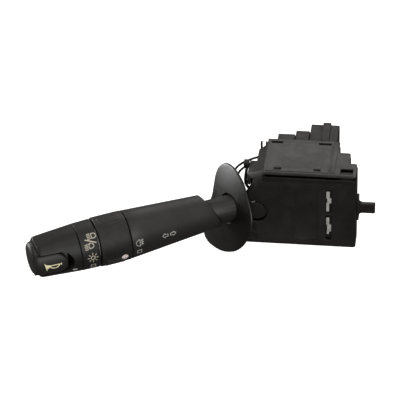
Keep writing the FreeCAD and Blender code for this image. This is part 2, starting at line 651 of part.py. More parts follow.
# Lever
def lever_root():
    block = Part.makeSphere(4.3)
    block = cut(block, [box(-6, -6, 4.2, 6, 6, 8), box(-6, -6, -8, 6, 6, -4.2)])
    stem = turned([(0, 0), (0, ROOT_R), (NECK_START - 1, ROOT_R), (NECK_START, NECK_R),
        (NECK_END, NECK_R), (NECK_END, 0)])
    arm = on_lever(fuse([block, stem]))
    pin_bores = [rod(PIVOT + V(0, 0, 2.5), PIVOT + V(0, 0, 8), 1.5 + RUNNING),
        rod(PIVOT - V(0, 0, 8), PIVOT - V(0, 0, 2.5), 1.5 + RUNNING)]
    tail = rod(PIVOT, PIVOT + V(TAIL_BALL_X, 0, 0), 1.9)
    ball = Part.makeSphere(TAIL_BALL_R, PIVOT + V(TAIL_BALL_X, 0, 0))
    tube_bore = on_lever(rod(V(NECK_START + 3, 0, 0), V(NECK_END + 1, 0, 0), TUBE_R))
    lead_way = on_lever(rod(V(9.1, -8.2, 3.0), V(16.5, 2.0, 0.6), 1.7))
    return cut(fuse([arm, tail, ball]), pin_bores + [tube_bore, lead_way])


def stalk_tube():
    return on_lever(turned([
        (NECK_START + 3, TUBE_BORE_R), (NECK_START + 3, TUBE_R), (TUBE_END, TUBE_R),
        (TUBE_END, TUBE_BORE_R),
    ]))


def shield():
    centre, out, across, up = shield_axes()
    points = [centre + across * x + up * y - out * 20 for x, y in SHIELD_OUTLINE]
    curve = Part.BSplineCurve()
    curve.interpolate(Points=points, PeriodicFlag=True)
    column = Part.Face(Part.Wire(curve.toShape())).extrude(out * 40)
    middle = centre + out * (SHIELD_CROWN - SHIELD_SPHERE)
    inner_ball = Part.makeSphere(SHIELD_SPHERE - SHIELD_THICK, middle)
    skin = Part.makeSphere(SHIELD_SPHERE, middle).cut(inner_ball)
    plate = column.common(skin)
    plate = max(plate.Solids, key=lambda s: s.Volume if (s.CenterOfMass - centre).Length < 20 else 0)
    hub = on_lever(rod(V(NECK_START + 0.6, 0, 0), V(SHIELD_CENTRE + 0.6, 0, 0), NECK_R + 1.6))
    bore = on_lever(rod(V(0, 0, 0), V(40, 0, 0), NECK_R))
    return cut(fuse([plate, hub]), [bore])


def leaning_cone(start, end, start_r, end_r, shift):
    """Cone whose start lies off the lever's axis, towards the handle's high side."""
    high = math.radians(HANDLE_HIGH_DEG)
    first = Part.makeCircle(start_r, V(start, shift * math.cos(high), shift * math.sin(high)), V(1, 0, 0))
    last = Part.makeCircle(end_r, V(end, 0, 0), V(1, 0, 0))
    return Part.makeLoft([Part.Wire([first]), Part.Wire([last])], True, True)


def handle():
    root = 16.0
    edge = HANDLE_END - 0.3
    root_r = HANDLE_R1 - HANDLE_TAPER * (edge - root)
    lean = HANDLE_LEAN * (edge - root)
    outer = leaning_cone(root, edge, root_r, HANDLE_R1, lean)
    collar = turned([(edge, 0), (edge, HANDLE_R1), (HANDLE_END, HANDLE_R1 - 0.25), (HANDLE_END, 0)])
    mouth_end = 34.0
    mouth_r = HANDLE_R1 - HANDLE_TAPER * (edge - mouth_end) - HANDLE_WALL
    mouth = leaning_cone(root - 1, edge, root_r - HANDLE_WALL - HANDLE_TAPER, HANDLE_R1 - HANDLE_WALL,
        lean)
    mouth = mouth.common(rod(V(root - 2, 0, 0), V(mouth_end, 0, 0), 20))
    hollow = turned([
        (40, 0), (40, mouth_r), (CARRIER_START - 1, CARRIER_R - 0.4), (CARRIER_START - 1, CARRIER_R),
        (HANDLE_END + 1, CARRIER_R), (HANDLE_END + 1, 0),
    ])
    neck_hole = turned([(10, 0), (10, NECK_R), (NECK_END, NECK_R), (NECK_END, TUBE_R), (60, TUBE_R),
        (60, 0)])
    slant = Part.makeBox(60, 60, 60, V(-60, -30, -30))
    slant.rotate(V(0, 0, 0), V(0, 1, 0), HANDLE_CUT_RISE_DEG)
    slant.rotate(V(0, 0, 0), V(0, 0, 1), HANDLE_CUT_TURN_DEG)
    slant.translate(V(HANDLE_CUT, 0, 0))
    body = cut(fuse([outer, collar]), [mouth, hollow, neck_hole, slant])
    return on_lever(body)


def head_carrier():
    body = turned([
        (CARRIER_START, TUBE_R), (CARRIER_START, CARRIER_R), (BAND_END - 0.8, CARRIER_R),
        (BAND_END - 0.8, 6.6), (BAND_START, 6.6), (BAND_START, TUBE_R),
    ])
    return on_lever(body)


def fog_ring():
    r = RING_R
    body = turned([
        (RING_START, RING_BORE_R), (RING_START, r - 0.3), (RING_START + 0.3, r - 0.05),
        (RING_START + 3, r),
        (RING_END - 1.5, r), (RING_END - 0.3, r - 0.1), (RING_END, r - 0.35), (RING_END, RING_BORE_R),
    ])
    pads = []
    for angle in (0, 120, 240):
        for k in range(4):
            pad = box(RING_START + 4.2, -0.55, r - 0.6, RING_END - 2.8, 0.55, r + 0.35)
            pad = rounded(pad, 0.3, lambda e: e.CenterOfMass.z > r)
            pad.rotate(V(0, 0, 0), V(1, 0, 0), angle + 8 * (k - 1.5) - 6)
            pads.append(pad)
    pocket = box(RING_START + 4.2, -1.5, -RING_BORE_R - 0.8, RING_START + 9.4, 1.5, -RING_BORE_R + 1)
    return on_lever(cut(fuse([body] + pads), [pocket]))


def symbol_band():
    body = turned([
        (BAND_START, CARRIER_R), (BAND_START, BAND_R0 - 0.25), (BAND_START + 0.25, BAND_R0),
        (BAND_END, BAND_R1), (BAND_END, 6.6), (BAND_END - 0.8, 6.6), (BAND_END - 0.8, CARRIER_R),
    ])
    collar = turned([(RING_END + 0.3, CARRIER_R), (RING_END + 0.3, 11.0), (BAND_START, 11.0),
        (BAND_START, CARRIER_R)])
    return on_lever(fuse([body, collar]))


KNOB_BORE_R = 9.0
TRAVEL = 2.5
TONGUE_MID_DEG = 0.0
TONGUE_START = 107.2
TONGUE_HALF = 5.8
STEM_START = 106.0
CAP_START = 122.9
TIP_CAP_R = 8.9
FLAT_MID_DEG = 85.0
FLAT_START = 109.9
FLAT_SLOPE_DEG = 9.5


def knob_radius(s):
    return KNOB_R0 + (KNOB_R1 - KNOB_R0) * (s - KNOB_START) / (KNOB_END - KNOB_START)


def tongue_prism(grow, start):
    """Rounded tongue seen along the radius at its middle, cut through one wall."""
    half = TONGUE_HALF + grow
    tip = start + half
    arch = Part.makeCylinder(half, 20, V(tip, 0, 0), V(0, 0, 1))
    block = box(tip, -half, 0, TIP_END + 3, half, 20)
    shape = fuse([arch, block])
    shape.rotate(V(0, 0, 0), V(1, 0, 0), TONGUE_MID_DEG - 90)
    return shape


def light_knob():
    outer = turned([
        (KNOB_START, 0), (KNOB_START, KNOB_R0 - 0.3), (KNOB_START + 0.3, KNOB_R0),
        (KNOB_END - 2.2, knob_radius(KNOB_END - 2.2)), (KNOB_END - 0.8, knob_radius(KNOB_END) - 0.35),
        (KNOB_END, KNOB_BORE_R + 0.4), (KNOB_END, 0),
    ])
    hollow = rod(V(KNOB_START + 3.5, 0, 0), V(KNOB_END + 1, 0, 0), KNOB_BORE_R)
    spigot = turned([(BAND_START + 1.3, 4.0), (BAND_START + 1.3, 6.55), (KNOB_START, 6.55),
        (KNOB_START, 4.0)])
    bore = rod(V(80, 0, 0), V(KNOB_START + 5, 0, 0), 4.0)
    body = cut(outer, [hollow, bore, tongue_prism(0.45, TONGUE_START - TRAVEL - 0.6)])
    flat = box(FLAT_START, 0, -9, KNOB_END + 5, 30, 9)
    flat.rotate(V(FLAT_START, 0, 0), V(0, 0, 1), -FLAT_SLOPE_DEG)
    flat.translate(V(0, knob_radius(FLAT_START), 0))
    flat.rotate(V(0, 0, 0), V(1, 0, 0), FLAT_MID_DEG)
    return on_lever(fuse([cut(body, [flat]), spigot]))


def horn_button():
    cap = turned([
        (CAP_START, 0), (CAP_START, TIP_CAP_R), (TIP_END - 1.6, TIP_CAP_R),
        (TIP_END - 0.5, TIP_CAP_R - 0.6),
        (TIP_END, TIP_CAP_R - 1.9), (TIP_END + TIP_DOME, 0),
    ])
    shell_r = KNOB_BORE_R - CLEAR
    skin = turned([
        (TONGUE_START - 1, shell_r - 1.2), (TONGUE_START - 1, knob_radius(TONGUE_START - 1) - 0.1),
        (KNOB_END - 1.5, knob_radius(KNOB_END - 1.5) - 0.1),
        (KNOB_END + 0.6, knob_radius(KNOB_END) - 0.5),
        (TIP_END - 1.6, knob_radius(KNOB_END) - 1.3), (TIP_END - 0.5, TIP_CAP_R - 0.7),
        (TIP_END, TIP_CAP_R - 2.1),
        (TIP_END, TIP_CAP_R - 4), (CAP_START, TIP_CAP_R - 2.6), (CAP_START - 2, shell_r - 1.2),
    ])
    tongue = skin.common(tongue_prism(0, TONGUE_START))
    stem = turned([(STEM_START, 0), (STEM_START, 2.2), (CAP_START + 1, 2.2), (CAP_START + 1, 0)])
    return on_lever(fuse([cap, tongue, stem]))


def horn_spring():
    axis = [on_lever(Part.Vertex(V(s, 0, 0))).Point for s in (KNOB_START + 3.6, CAP_START - 0.05)]
    return coil(axis[0], axis[1], 4.9, 0.7, 6)


def flat_ring(s, inner, outer, thick):
    return turned([(s, inner), (s, outer), (s + thick, outer), (s + thick, inner)])


def light_tracks():
    return on_lever(flat_ring(BAND_START, TUBE_R + 0.1, 6.5, 0.4))


def light_wiper():
    ring = flat_ring(BAND_START + 1.0, 4.8, 6.3, 0.3)
    legs = []
    for angle in (0, 120, 240):
        leg = box(BAND_START + 0.55, 4.9, -0.6, BAND_START + 1.1, 6.2, 0.6)
        leg.rotate(V(0, 0, 0), V(1, 0, 0), angle)
        legs.append(leg)
    return on_lever(fuse([ring] + legs))


def fog_tracks():
    places = (RING_START + 4.0, RING_START + 8.0)
    return on_lever(group([flat_ring(s, CARRIER_R, CARRIER_R + 0.1, 1.6) for s in places]))


def fog_wiper():
    blocks = []
    for s in (RING_START + 4.2, RING_START + 8.2):
        blocks.append(box(s, -1.5, -RING_BORE_R - 0.8, s + 1.2, 1.5, -RING_BORE_R + 0.12))
    bridge = box(RING_START + 4.2, -1.5, -RING_BORE_R - 0.8, RING_START + 9.4, 1.5, -RING_BORE_R - 0.4)
    return on_lever(fuse(blocks + [bridge]))


def horn_contact():
    return on_lever(flat_ring(STEM_START - 0.4, 0, 2.0, 0.4))


def horn_terminal():
    return on_lever(flat_ring(KNOB_START + 2.6, 0, 4.0, 0.4))


def pull_spring():
    z = PIVOT_Z
    return coil(V(5.2, 2.05, z), V(5.2, YOKE_GAP_Y - 0.05, z), 1.0, 0.35, 3)


# Self-cancelling finger
def cancel_carriage():
    z = PIVOT_Z
    y0, y1 = FINGER_Y - 2.6, FINGER_Y + 2.6
    body = box(42.3, y0, z - 3.8, 48.4, y1, z + 3.8)
    body = rounded(body, 0.6, lambda e: is_along(e, (0, 1, 0)))
    fork = box(43.0, FINGER_Y - FINGER_THICK / 2 - CLEAR, z - 5, 50,
        FINGER_Y + FINGER_THICK / 2 + CLEAR, z + 5)
    return cut(body, [fork, rod(V(FINGER_PIN_X, -9, z), V(FINGER_PIN_X, 9, z), 1.0)])


def finger_pin():
    return rod(V(FINGER_PIN_X, FINGER_Y - 2.6, PIVOT_Z), V(FINGER_PIN_X, FINGER_Y + 2.6, PIVOT_Z), 1.0)


def cancel_finger():
    z = PIVOT_Z
    y0, y1 = FINGER_Y - FINGER_THICK / 2, FINGER_Y + FINGER_THICK / 2
    h = FINGER_TALL / 2
    bar = box(FINGER_PIN_X, y0, z - h, FINGER_TIP_X, y1, z + h)
    bar = rounded(bar, 0.7, lambda e: near(e.CenterOfMass.x, FINGER_TIP_X) and is_along(e, (0, 1, 0)))
    eye = rod(V(FINGER_PIN_X, y0, z), V(FINGER_PIN_X, y1, z), 2.6)
    guard = box(52.0, FINGER_Y - 2.5, z - 6.6, 53.0, FINGER_Y + 2.5, z + 7.0)
    flare = prism(
        [(52.9, y0, z - h - 1.4), (53.5, y0, z - h - 0.5), (54.6, y0, z - h), (54.6, y0, z + h),
         (53.5, y0, z + h + 0.5), (52.9, y0, z + h + 1.4)],
        (0, FINGER_THICK, 0),
    )
    holes = [rod(V(FINGER_PIN_X, -9, z), V(FINGER_PIN_X, 9, z), 1.0 + RUNNING),
        rod(V(58.9, -9, z), V(58.9, y0 + 1.4, z), 1.0)]
    return cut(fuse([bar, eye, guard, flare]), holes)


def cancel_spring():
    return coil(V(CAM_BACK_X + 0.1, FINGER_Y, PIVOT_Z), V(42.2, FINGER_Y, PIVOT_Z), 1.7, 0.5, 4)


# Write every piece
save(housing_shell(), "housing_shell")
save(housing_cover(), "housing_cover")
save(rear_carrier(), "rear_carrier")
for name in CONNECTORS:
    save(connector(name), "connector_" + name)
    save(group(blade_row(name)), "blades_" + name)
save(contact_board(), "contact_board")
save(contact_tracks(), "contact_tracks")
save(pivot_cap(), "pivot_cap")
save(bearing_plate(), "bearing_plate")
save(detent_cam(), "detent_cam")
save(cable_clip(), "cable_clip")
save(lead(LEAD_UPPER, LEAD_R), "lead_upper")
save(lead(LEAD_LOWER, LEAD_R), "lead_lower")
save(lead(LEAD_SHORT, SHORT_LEAD_R), "lead_short")
save(cable_tie(), "cable_tie")
save(turn_yoke(), "turn_yoke")
save(pull_pins(), "pull_pins")
save(detent_plunger(), "detent_plunger")
save(detent_spring(), "detent_spring")
save(turn_carrier(), "turn_carrier")
save(turn_contacts(), "turn_contacts")
save(beam_carrier(), "beam_carrier")
save(beam_contacts(), "beam_contacts")
save(lever_root(), "lever_root")
save(stalk_tube(), "stalk_tube")
save(shield(), "shield")
save(handle(), "handle")
save(head_carrier(), "head_carrier")
save(fog_ring(), "fog_ring")
save(symbol_band(), "symbol_band")
save(light_knob(), "light_knob")
save(horn_button(), "horn_button")
save(horn_spring(), "horn_spring")
save(light_tracks(), "light_tracks")
save(light_wiper(), "light_wiper")
save(fog_tracks(), "fog_tracks")
save(fog_wiper(), "fog_wiper")
save(horn_contact(), "horn_contact")
save(horn_terminal(), "horn_terminal")
save(pull_spring(), "pull_spring")
save(cancel_carriage(), "cancel_carriage")
save(finger_pin(), "finger_pin")
save(cancel_finger(), "cancel_finger")
save(cancel_spring(), "cancel_spring")
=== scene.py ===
import math

import bmesh
import bpy
from mathutils import Matrix, Vector
from mathutils.bvhtree import BVHTree


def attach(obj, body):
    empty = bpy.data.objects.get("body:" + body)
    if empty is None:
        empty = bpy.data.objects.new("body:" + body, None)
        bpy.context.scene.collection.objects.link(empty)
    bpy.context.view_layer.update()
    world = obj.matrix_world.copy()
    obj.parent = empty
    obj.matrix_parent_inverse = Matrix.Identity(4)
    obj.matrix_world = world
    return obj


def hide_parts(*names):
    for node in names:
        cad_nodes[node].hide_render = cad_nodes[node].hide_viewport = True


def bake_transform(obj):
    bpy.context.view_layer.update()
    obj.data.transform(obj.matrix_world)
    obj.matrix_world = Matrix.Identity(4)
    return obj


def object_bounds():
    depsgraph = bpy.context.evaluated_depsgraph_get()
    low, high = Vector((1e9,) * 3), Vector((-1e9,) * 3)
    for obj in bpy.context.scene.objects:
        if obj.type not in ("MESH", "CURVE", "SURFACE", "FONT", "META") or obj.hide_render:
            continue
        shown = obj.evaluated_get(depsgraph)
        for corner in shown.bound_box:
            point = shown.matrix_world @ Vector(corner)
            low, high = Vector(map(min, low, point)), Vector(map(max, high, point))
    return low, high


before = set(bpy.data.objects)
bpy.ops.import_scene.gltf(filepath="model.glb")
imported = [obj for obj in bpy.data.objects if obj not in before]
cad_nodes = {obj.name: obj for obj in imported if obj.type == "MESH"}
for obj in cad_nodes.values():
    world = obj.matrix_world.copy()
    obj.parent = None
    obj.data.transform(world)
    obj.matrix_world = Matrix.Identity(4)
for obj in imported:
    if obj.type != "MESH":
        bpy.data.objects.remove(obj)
cad_box = [list(corner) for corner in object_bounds()]
MM = 0.001

# Camera: the photographer stands in front, a little to the right, and looks down on the switch
# through a long lens. The picture is turned by less than two degrees.
CAMERA_PLACE = (0.1102, -0.9482, 0.6652)
CAMERA_LENS = 198.0
LOOK_DOWN_DEG = 34.0
LOOK_SIDE_DEG = 8.45
PICTURE_TURN = -0.031


def placed(data, name):
    """Puts a mesh, curve, light or camera in the scene as an object."""
    thing = bpy.data.objects.new(name, data)
    bpy.context.scene.collection.objects.link(thing)
    return thing


camera_data = bpy.data.cameras.new("product_camera")
camera_data.lens = CAMERA_LENS
camera_data.sensor_width = 36.0
camera_data.clip_start = 0.05
camera_data.clip_end = 20.0
camera = placed(camera_data, "product_camera")
camera_turn = Matrix.Rotation(math.radians(LOOK_SIDE_DEG), 4, "Z")
camera_turn = camera_turn @ Matrix.Rotation(math.radians(90.0 - LOOK_DOWN_DEG), 4, "X")
camera_turn = camera_turn @ Matrix.Rotation(PICTURE_TURN, 4, "Z")
camera.matrix_world = Matrix.Translation(CAMERA_PLACE) @ camera_turn
bpy.context.scene.camera = camera

# Table: a plain white sweep that the switch lies on, bright enough to leave no more than a faint
# shadow. It throws no light back on the switch, whose front and underside stay as dark as in the studio.
TABLE_SIZE = 3.0
TABLE_GLOW = 0.93
TABLE_DROP = 0.0002


def surface_of(material):
    return material.node_tree.nodes["Principled BSDF"]


def new_material(name):
    material = bpy.data.materials.new(name)
    material.use_nodes = True
    return material


table_paper = new_material("white_table")
surface_of(table_paper).inputs["Base Color"].default_value = (0.6, 0.6, 0.6, 1)
surface_of(table_paper).inputs["Roughness"].default_value = 0.9
surface_of(table_paper).inputs["Specular IOR Level"].default_value = 0.1
surface_of(table_paper).inputs["Emission Color"].default_value = (1, 1, 1, 1)
surface_of(table_paper).inputs["Emission Strength"].default_value = TABLE_GLOW
table_level = cad_box[0][2] - TABLE_DROP
half_table = TABLE_SIZE / 2
table_corners = [
    (x * half_table, y * half_table, table_level) for x, y in ((-1, -1), (1, -1), (1, 1), (-1, 1))
]
table_mesh = bpy.data.meshes.new("table")
table_mesh.from_pydata(table_corners, [], [(0, 1, 2, 3)])
table_mesh.materials.append(table_paper)
table = placed(table_mesh, "table")
table.visible_diffuse = False
table.visible_glossy = False

# Studio lights: a wide soft box over and behind the switch gives the top its sheen, one overhead lights
# the stalk, a low one at the left lights the shield, and one in front lights the housing's face. The
# room is dim and a little warm, and dimmer below.
SOFT_BOXES = {
    "rear_soft_box": ((0.1, 0.80, 0.75), 0.9, 4.6),
    "top_soft_box": ((0.25, -0.35, 1.1), 0.9, 4.0),
    "left_soft_box": ((-0.93, 0.34, 0.18), 0.5, 8.5),
    "front_soft_box": ((0.25, -1.05, 0.42), 0.8, 8.5),
}
AIM = Vector((-0.03, 0.0, 0.015))
ROOM_COLOUR = (1, 0.96, 0.91, 1)
ROOM_ABOVE, ROOM_BELOW = 0.23, 0.11
ROOM_FADES = (-0.15, 0.35)

for name, (place, width, power) in SOFT_BOXES.items():
    light = bpy.data.lights.new(name, "AREA")
    light.shape = "SQUARE"
    light.size = width
    light.energy = power
    lamp = placed(light, name)
    lamp.location = place
    lamp.rotation_euler = (AIM - Vector(place)).to_track_quat("-Z", "Y").to_euler()

world = bpy.data.worlds.new("studio")
bpy.context.scene.world = world
world.use_nodes = True
room = world.node_tree
room_light = room.nodes["Background"]
room_light.inputs["Color"].default_value = ROOM_COLOUR
heading = room.nodes.new("ShaderNodeTexCoord")
height = room.nodes.new("ShaderNodeSeparateXYZ")
room.links.new(heading.outputs["Generated"], height.inputs["Vector"])
dimmer = room.nodes.new("ShaderNodeMapRange")
dimmer.inputs["From Min"].default_value = ROOM_FADES[0]
dimmer.inputs["From Max"].default_value = ROOM_FADES[1]
dimmer.inputs["To Min"].default_value = ROOM_BELOW
dimmer.inputs["To Max"].default_value = ROOM_ABOVE
room.links.new(height.outputs["Z"], dimmer.inputs["Value"])
room.links.new(dimmer.outputs["Result"], room_light.inputs["Strength"])
bpy.context.scene.view_settings.view_transform = "Standard"

# Housing: two black glass-filled nylon mouldings, a box and the cover that slides on its rails.
# The mould leaves a fine sparked grain, cloudy flow marks and slightly polished edges. The rail's seat
# under the cover's lip, the groove round the pivot cap and the panel's edge carry painted shade, near
# black.
HOUSING_BLACK = (0.0105, 0.0092, 0.0083)
HOUSING_CLOUD = (0.0170, 0.0150, 0.0136)
PIVOT_HEIGHT = 20.0
# Places that take painted shade, in mm: the rail's seat, the groove round the pivot cap and the panel's
# edge.
RAIL_SEAT_LOW, RAIL_SEAT_BACK = 42.2, -5.4
GROOVE_REACH, GROOVE_Y = (4.75, 6.3), (-9.35, -6.5)
PANEL_X, PANEL_Z, PANEL_EDGE_Y = (19.9, 32.6), (3.4, 35.5), (-9.48, -9.02)


def link(tree, source, target):
    tree.links.new(source, target)


def object_place(tree, turn=(0, 0, 0)):
    """Object coordinates in metres, turned by a Mapping node."""
    place = tree.nodes.new("ShaderNodeTexCoord")
    mapping = tree.nodes.new("ShaderNodeMapping")
    mapping.inputs["Rotation"].default_value = turn
    link(tree, place.outputs["Object"], mapping.inputs["Vector"])
    return mapping.outputs["Vector"]


def cloud(tree, place, size_mm, detail=3.0, roughness=0.55):
    """Noise whose patches are about size_mm wide."""
    noise = tree.nodes.new("ShaderNodeTexNoise")
    noise.inputs["Scale"].default_value = 1.0 / (size_mm * MM)
    noise.inputs["Detail"].default_value = detail
    noise.inputs["Roughness"].default_value = roughness
    link(tree, place, noise.inputs["Vector"])
    return noise.outputs["Fac"]


def spread(tree, value, low, high, to_low, to_high):
    """Maps a value's range onto another one."""
    node = tree.nodes.new("ShaderNodeMapRange")
    node.inputs["From Min"].default_value = low
    node.inputs["From Max"].default_value = high
    node.inputs["To Min"].default_value = to_low
    node.inputs["To Max"].default_value = to_high
    link(tree, value, node.inputs["Value"])
    return node.outputs["Result"]


def blended(tree, share, first, second):
    """Mixes two colours, each a colour or the output of a node."""
    mix = tree.nodes.new("ShaderNodeMix")
    mix.data_type = "RGBA"
    link(tree, share, mix.inputs["Factor"])
    for socket, colour in ((mix.inputs[6], first), (mix.inputs[7], second)):
        if isinstance(colour, tuple):
            socket.default_value = (*colour, 1)
        else:
            link(tree, colour, socket)
    return mix.outputs[2]


def bump(tree, height, depth_mm, strength, surface, under=None):
    """Presses a height pattern into the surface's normal."""
    relief = tree.nodes.new("ShaderNodeBump")
    relief.inputs["Strength"].default_value = strength
    relief.inputs["Distance"].default_value = depth_mm * MM
    link(tree, height, relief.inputs["Height"])
    if under is not None:
        link(tree, under, relief.inputs["Normal"])
    link(tree, relief.outputs["Normal"], surface.inputs["Normal"])


def times(tree, first, second):
    product = tree.nodes.new("ShaderNodeMath")
    product.operation = "MULTIPLY"
    link(tree, first, product.inputs[0])
    link(tree, second, product.inputs[1])
    return product.outputs["Value"]


def edge_polish(tree, radius_mm):
    """0 on flats and 1 along edges, from how far a rounded normal leaves the true one."""
    bevel = tree.nodes.new("ShaderNodeBevel")
    bevel.samples = 4
    bevel.inputs["Radius"].default_value = radius_mm * MM
    geometry = tree.nodes.new("ShaderNodeNewGeometry")
    compare = tree.nodes.new("ShaderNodeVectorMath")
    compare.operation = "DOT_PRODUCT"
    link(tree, bevel.outputs["Normal"], compare.inputs[0])
    link(tree, geometry.outputs["Normal"], compare.inputs[1])
    return spread(tree, compare.outputs["Value"], 0.99, 0.86, 0.0, 1.0), bevel.outputs["Normal"]


def moulded(name, colour, clouded, roughness, gloss_level, grain_mm=0.35, grain_depth_mm=0.02, cloud_mm=9.0,
            worn=(0.05, 0.048, 0.045), scratches=0.0, soft_edge_mm=0.3):
    """Moulded thermoplastic: cloudy colour, uneven gloss, sparked grain, polished edges and scratches."""
    material = new_material(name)
    tree = material.node_tree
    surface = surface_of(material)
    surface.inputs["Specular IOR Level"].default_value = gloss_level
    place = object_place(tree)
    clouds = spread(tree, cloud(tree, place, cloud_mm), 0.35, 0.68, 0.0, 1.0)
    speckle = spread(tree, cloud(tree, place, 1.1, 4.0, 0.7), 0.3, 0.75, 0.0, 1.0)
    tint = blended(tree, clouds, colour, clouded)
    tint = blended(tree, spread(tree, speckle, 0.55, 1.0, 0.0, 0.45), tint, clouded)
    edges, soft_normal = edge_polish(tree, soft_edge_mm)
    rubbed = times(tree, edges, spread(tree, cloud(tree, place, 3.0), 0.4, 0.62, 0.0, 0.8))
    tint = blended(tree, rubbed, tint, worn)
    if scratches:
        lines = cloud(tree, stretched(tree, (1.0, 1.0, 9.0), (0.0, 0.35, 0.9)), 6.0, 6.0, 0.75)
        marks = spread(tree, lines, 0.60, 0.74, 0.0, scratches)
        tint = blended(tree, marks, tint, worn)
    link(tree, tint, surface.inputs["Base Color"])
    gloss = spread(tree, cloud(tree, place, 5.0, 5.0, 0.65), 0.3, 0.7, roughness - 0.07, roughness + 0.07)
    link(tree, gloss, surface.inputs["Roughness"])
    bump(tree, cloud(tree, place, grain_mm, 2.0), grain_depth_mm, 0.6, surface, soft_normal)
    return material


def stretched(tree, scale, turn):
    """Object coordinates drawn out in one direction, for flow lines and scratches."""
    place = tree.nodes.new("ShaderNodeTexCoord")
    mapping = tree.nodes.new("ShaderNodeMapping")
    mapping.inputs["Scale"].default_value = scale
    mapping.inputs["Rotation"].default_value = turn
    link(tree, place.outputs["Object"], mapping.inputs["Vector"])
    return mapping.outputs["Vector"]


def piece_from(mesh, name, material, body):
    """Puts a finished mesh in the scene as a piece that rides on its body, if one is given."""
    mesh.name = name
    mesh.materials.clear()
    mesh.materials.append(material)
    mesh.shade_smooth()
    mesh.set_sharp_from_angle(angle=math.radians(28))
    piece = placed(mesh, name)
    if body:
        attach(piece, body)
    return piece


def settled(piece):
    """The piece's mesh with its modifiers applied."""
    graph = bpy.context.evaluated_depsgraph_get()
    return bpy.data.meshes.new_from_object(piece.evaluated_get(graph))


def eased_copy(node, edge_mm, carver=None):
    """A merged copy of a CAD node whose sharp edges are rounded, as a mould leaves them."""
    shape = bmesh.new()
    shape.from_mesh(cad_nodes[node].data)
    bmesh.ops.remove_doubles(shape, verts=shape.verts, dist=0.002 * MM)
    bmesh.ops.dissolve_limit(shape, angle_limit=math.radians(0.6), verts=shape.verts, edges=shape.edges)
    bmesh.ops.recalc_face_normals(shape, faces=shape.faces)
    mesh = bpy.data.meshes.new(node + "_eased")
    shape.to_mesh(mesh)
    shape.free()
    rough = placed(mesh, node + "_rough")
    if carver:
        carve = rough.modifiers.new("carve", "BOOLEAN")
        carve.operation = "DIFFERENCE"
        carve.object = carver
        carve.solver = "EXACT"
        carve.use_self = True
    bevel = rough.modifiers.new("edge", "BEVEL")
    bevel.width = edge_mm * MM
    bevel.segments = 2
    bevel.limit_method = "ANGLE"
    bevel.angle_limit = math.radians(32)
    bevel.use_clamp_overlap = True
    finished = settled(rough)
    bpy.data.objects.remove(rough)
    return finished


def ease(node, edge_mm, material, body, carver=None):
    piece = piece_from(eased_copy(node, edge_mm, carver), node + "_moulding", material, body)
    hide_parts(node)
    return piece


housing_nylon = moulded("housing_nylon", HOUSING_BLACK, HOUSING_CLOUD, roughness=0.46, gloss_level=0.22)
cover_nylon = moulded(
    "cover_nylon", (0.0130, 0.0115, 0.0098), (0.0270, 0.0240, 0.0205), roughness=0.44, gloss_level=0.36,
    cloud_mm=7.0, scratches=0.35)


def lies_in(value, limits):
    return limits[0] < value < limits[1]


def in_painted_shade_place(x, y, z):
    """Whether a place, in mm, is on the rail's seat, in the pivot cap's groove or on the panel's edge,
    where painted shade goes.
    """
    seat = z > RAIL_SEAT_LOW and y < RAIL_SEAT_BACK
    groove = lies_in(math.hypot(x, z - PIVOT_HEIGHT), GROOVE_REACH) and lies_in(y, GROOVE_Y)
    edge = lies_in(y, PANEL_EDGE_Y) and lies_in(x, PANEL_X) and lies_in(z, PANEL_Z)
    return seat or groove or edge


# Painted shade: a near-black material for the rail's seat, the pivot cap's groove and the panel's edge,
# darker than the carved gaps come out.
painted_gap_shade = moulded(
    "painted_gap_shade", (0.0010, 0.0009, 0.0008), (0.0018, 0.0016, 0.0014), roughness=0.6, gloss_level=0.06)
shell_piece = ease("housing_shell", 0.22, housing_nylon, "housing")
shell_piece.data.materials.append(painted_gap_shade)
# The shell is cut at the rail seat's back so that only the seat's faces take the painted shade.
shell_shape = bmesh.new()
shell_shape.from_mesh(shell_piece.data)
bmesh.ops.bisect_plane(
    shell_shape, geom=[*shell_shape.verts, *shell_shape.edges, *shell_shape.faces],
    plane_co=(0.0, RAIL_SEAT_BACK * MM, 0.0), plane_no=(0.0, 1.0, 0.0))
shell_shape.to_mesh(shell_piece.data)
shell_shape.free()
# Faces on the rail's seat, in the pivot cap's groove and on the panel's edge take the painted shade.
for face in shell_piece.data.polygons:
    if in_painted_shade_place(*(face.center / MM)):
        face.material_index = 1
ease("housing_cover", 0.16, cover_nylon, "housing")
ease("rear_carrier", 0.2, housing_nylon, "housing")
ease("cable_clip", 0.15, housing_nylon, "housing")
for size in ("small", "medium", "large"):
    ease("connector_" + size, 0.25, housing_nylon, "housing")
ease("pivot_cap", 0.2, housing_nylon, "housing")

# Interior: pieces seen only through the slots, the rail gap and the open plugs. Bearing plate, yoke, head
# carrier and finger carriage are white acetal, contact board and contact carriers brown phenolic, contacts
# tinned brass, and springs, pins, plunger and tube steel. The detent cam's body takes the black housing
# nylon as painted shade, standing for the shadow deep in the slots.
def plain(name, colour, second, roughness, metallic=0.0, size_mm=3.0, grain_mm=0.4):
    """Cloudy finish for the small inner parts, with the fine marks of a tool on metal."""
    material = new_material(name)
    tree = material.node_tree
    surface = surface_of(material)
    surface.inputs["Metallic"].default_value = metallic
    place = object_place(tree)
    tint = blended(tree, spread(tree, cloud(tree, place, size_mm), 0.35, 0.65, 0.0, 1.0), colour, second)
    link(tree, tint, surface.inputs["Base Color"])
    gloss = spread(tree, cloud(tree, place, size_mm / 2), 0.3, 0.7, roughness - 0.08, roughness + 0.08)
    link(tree, gloss, surface.inputs["Roughness"])
    bump(tree, cloud(tree, place, grain_mm, 2.0), 0.01, 0.5, surface)
    return material


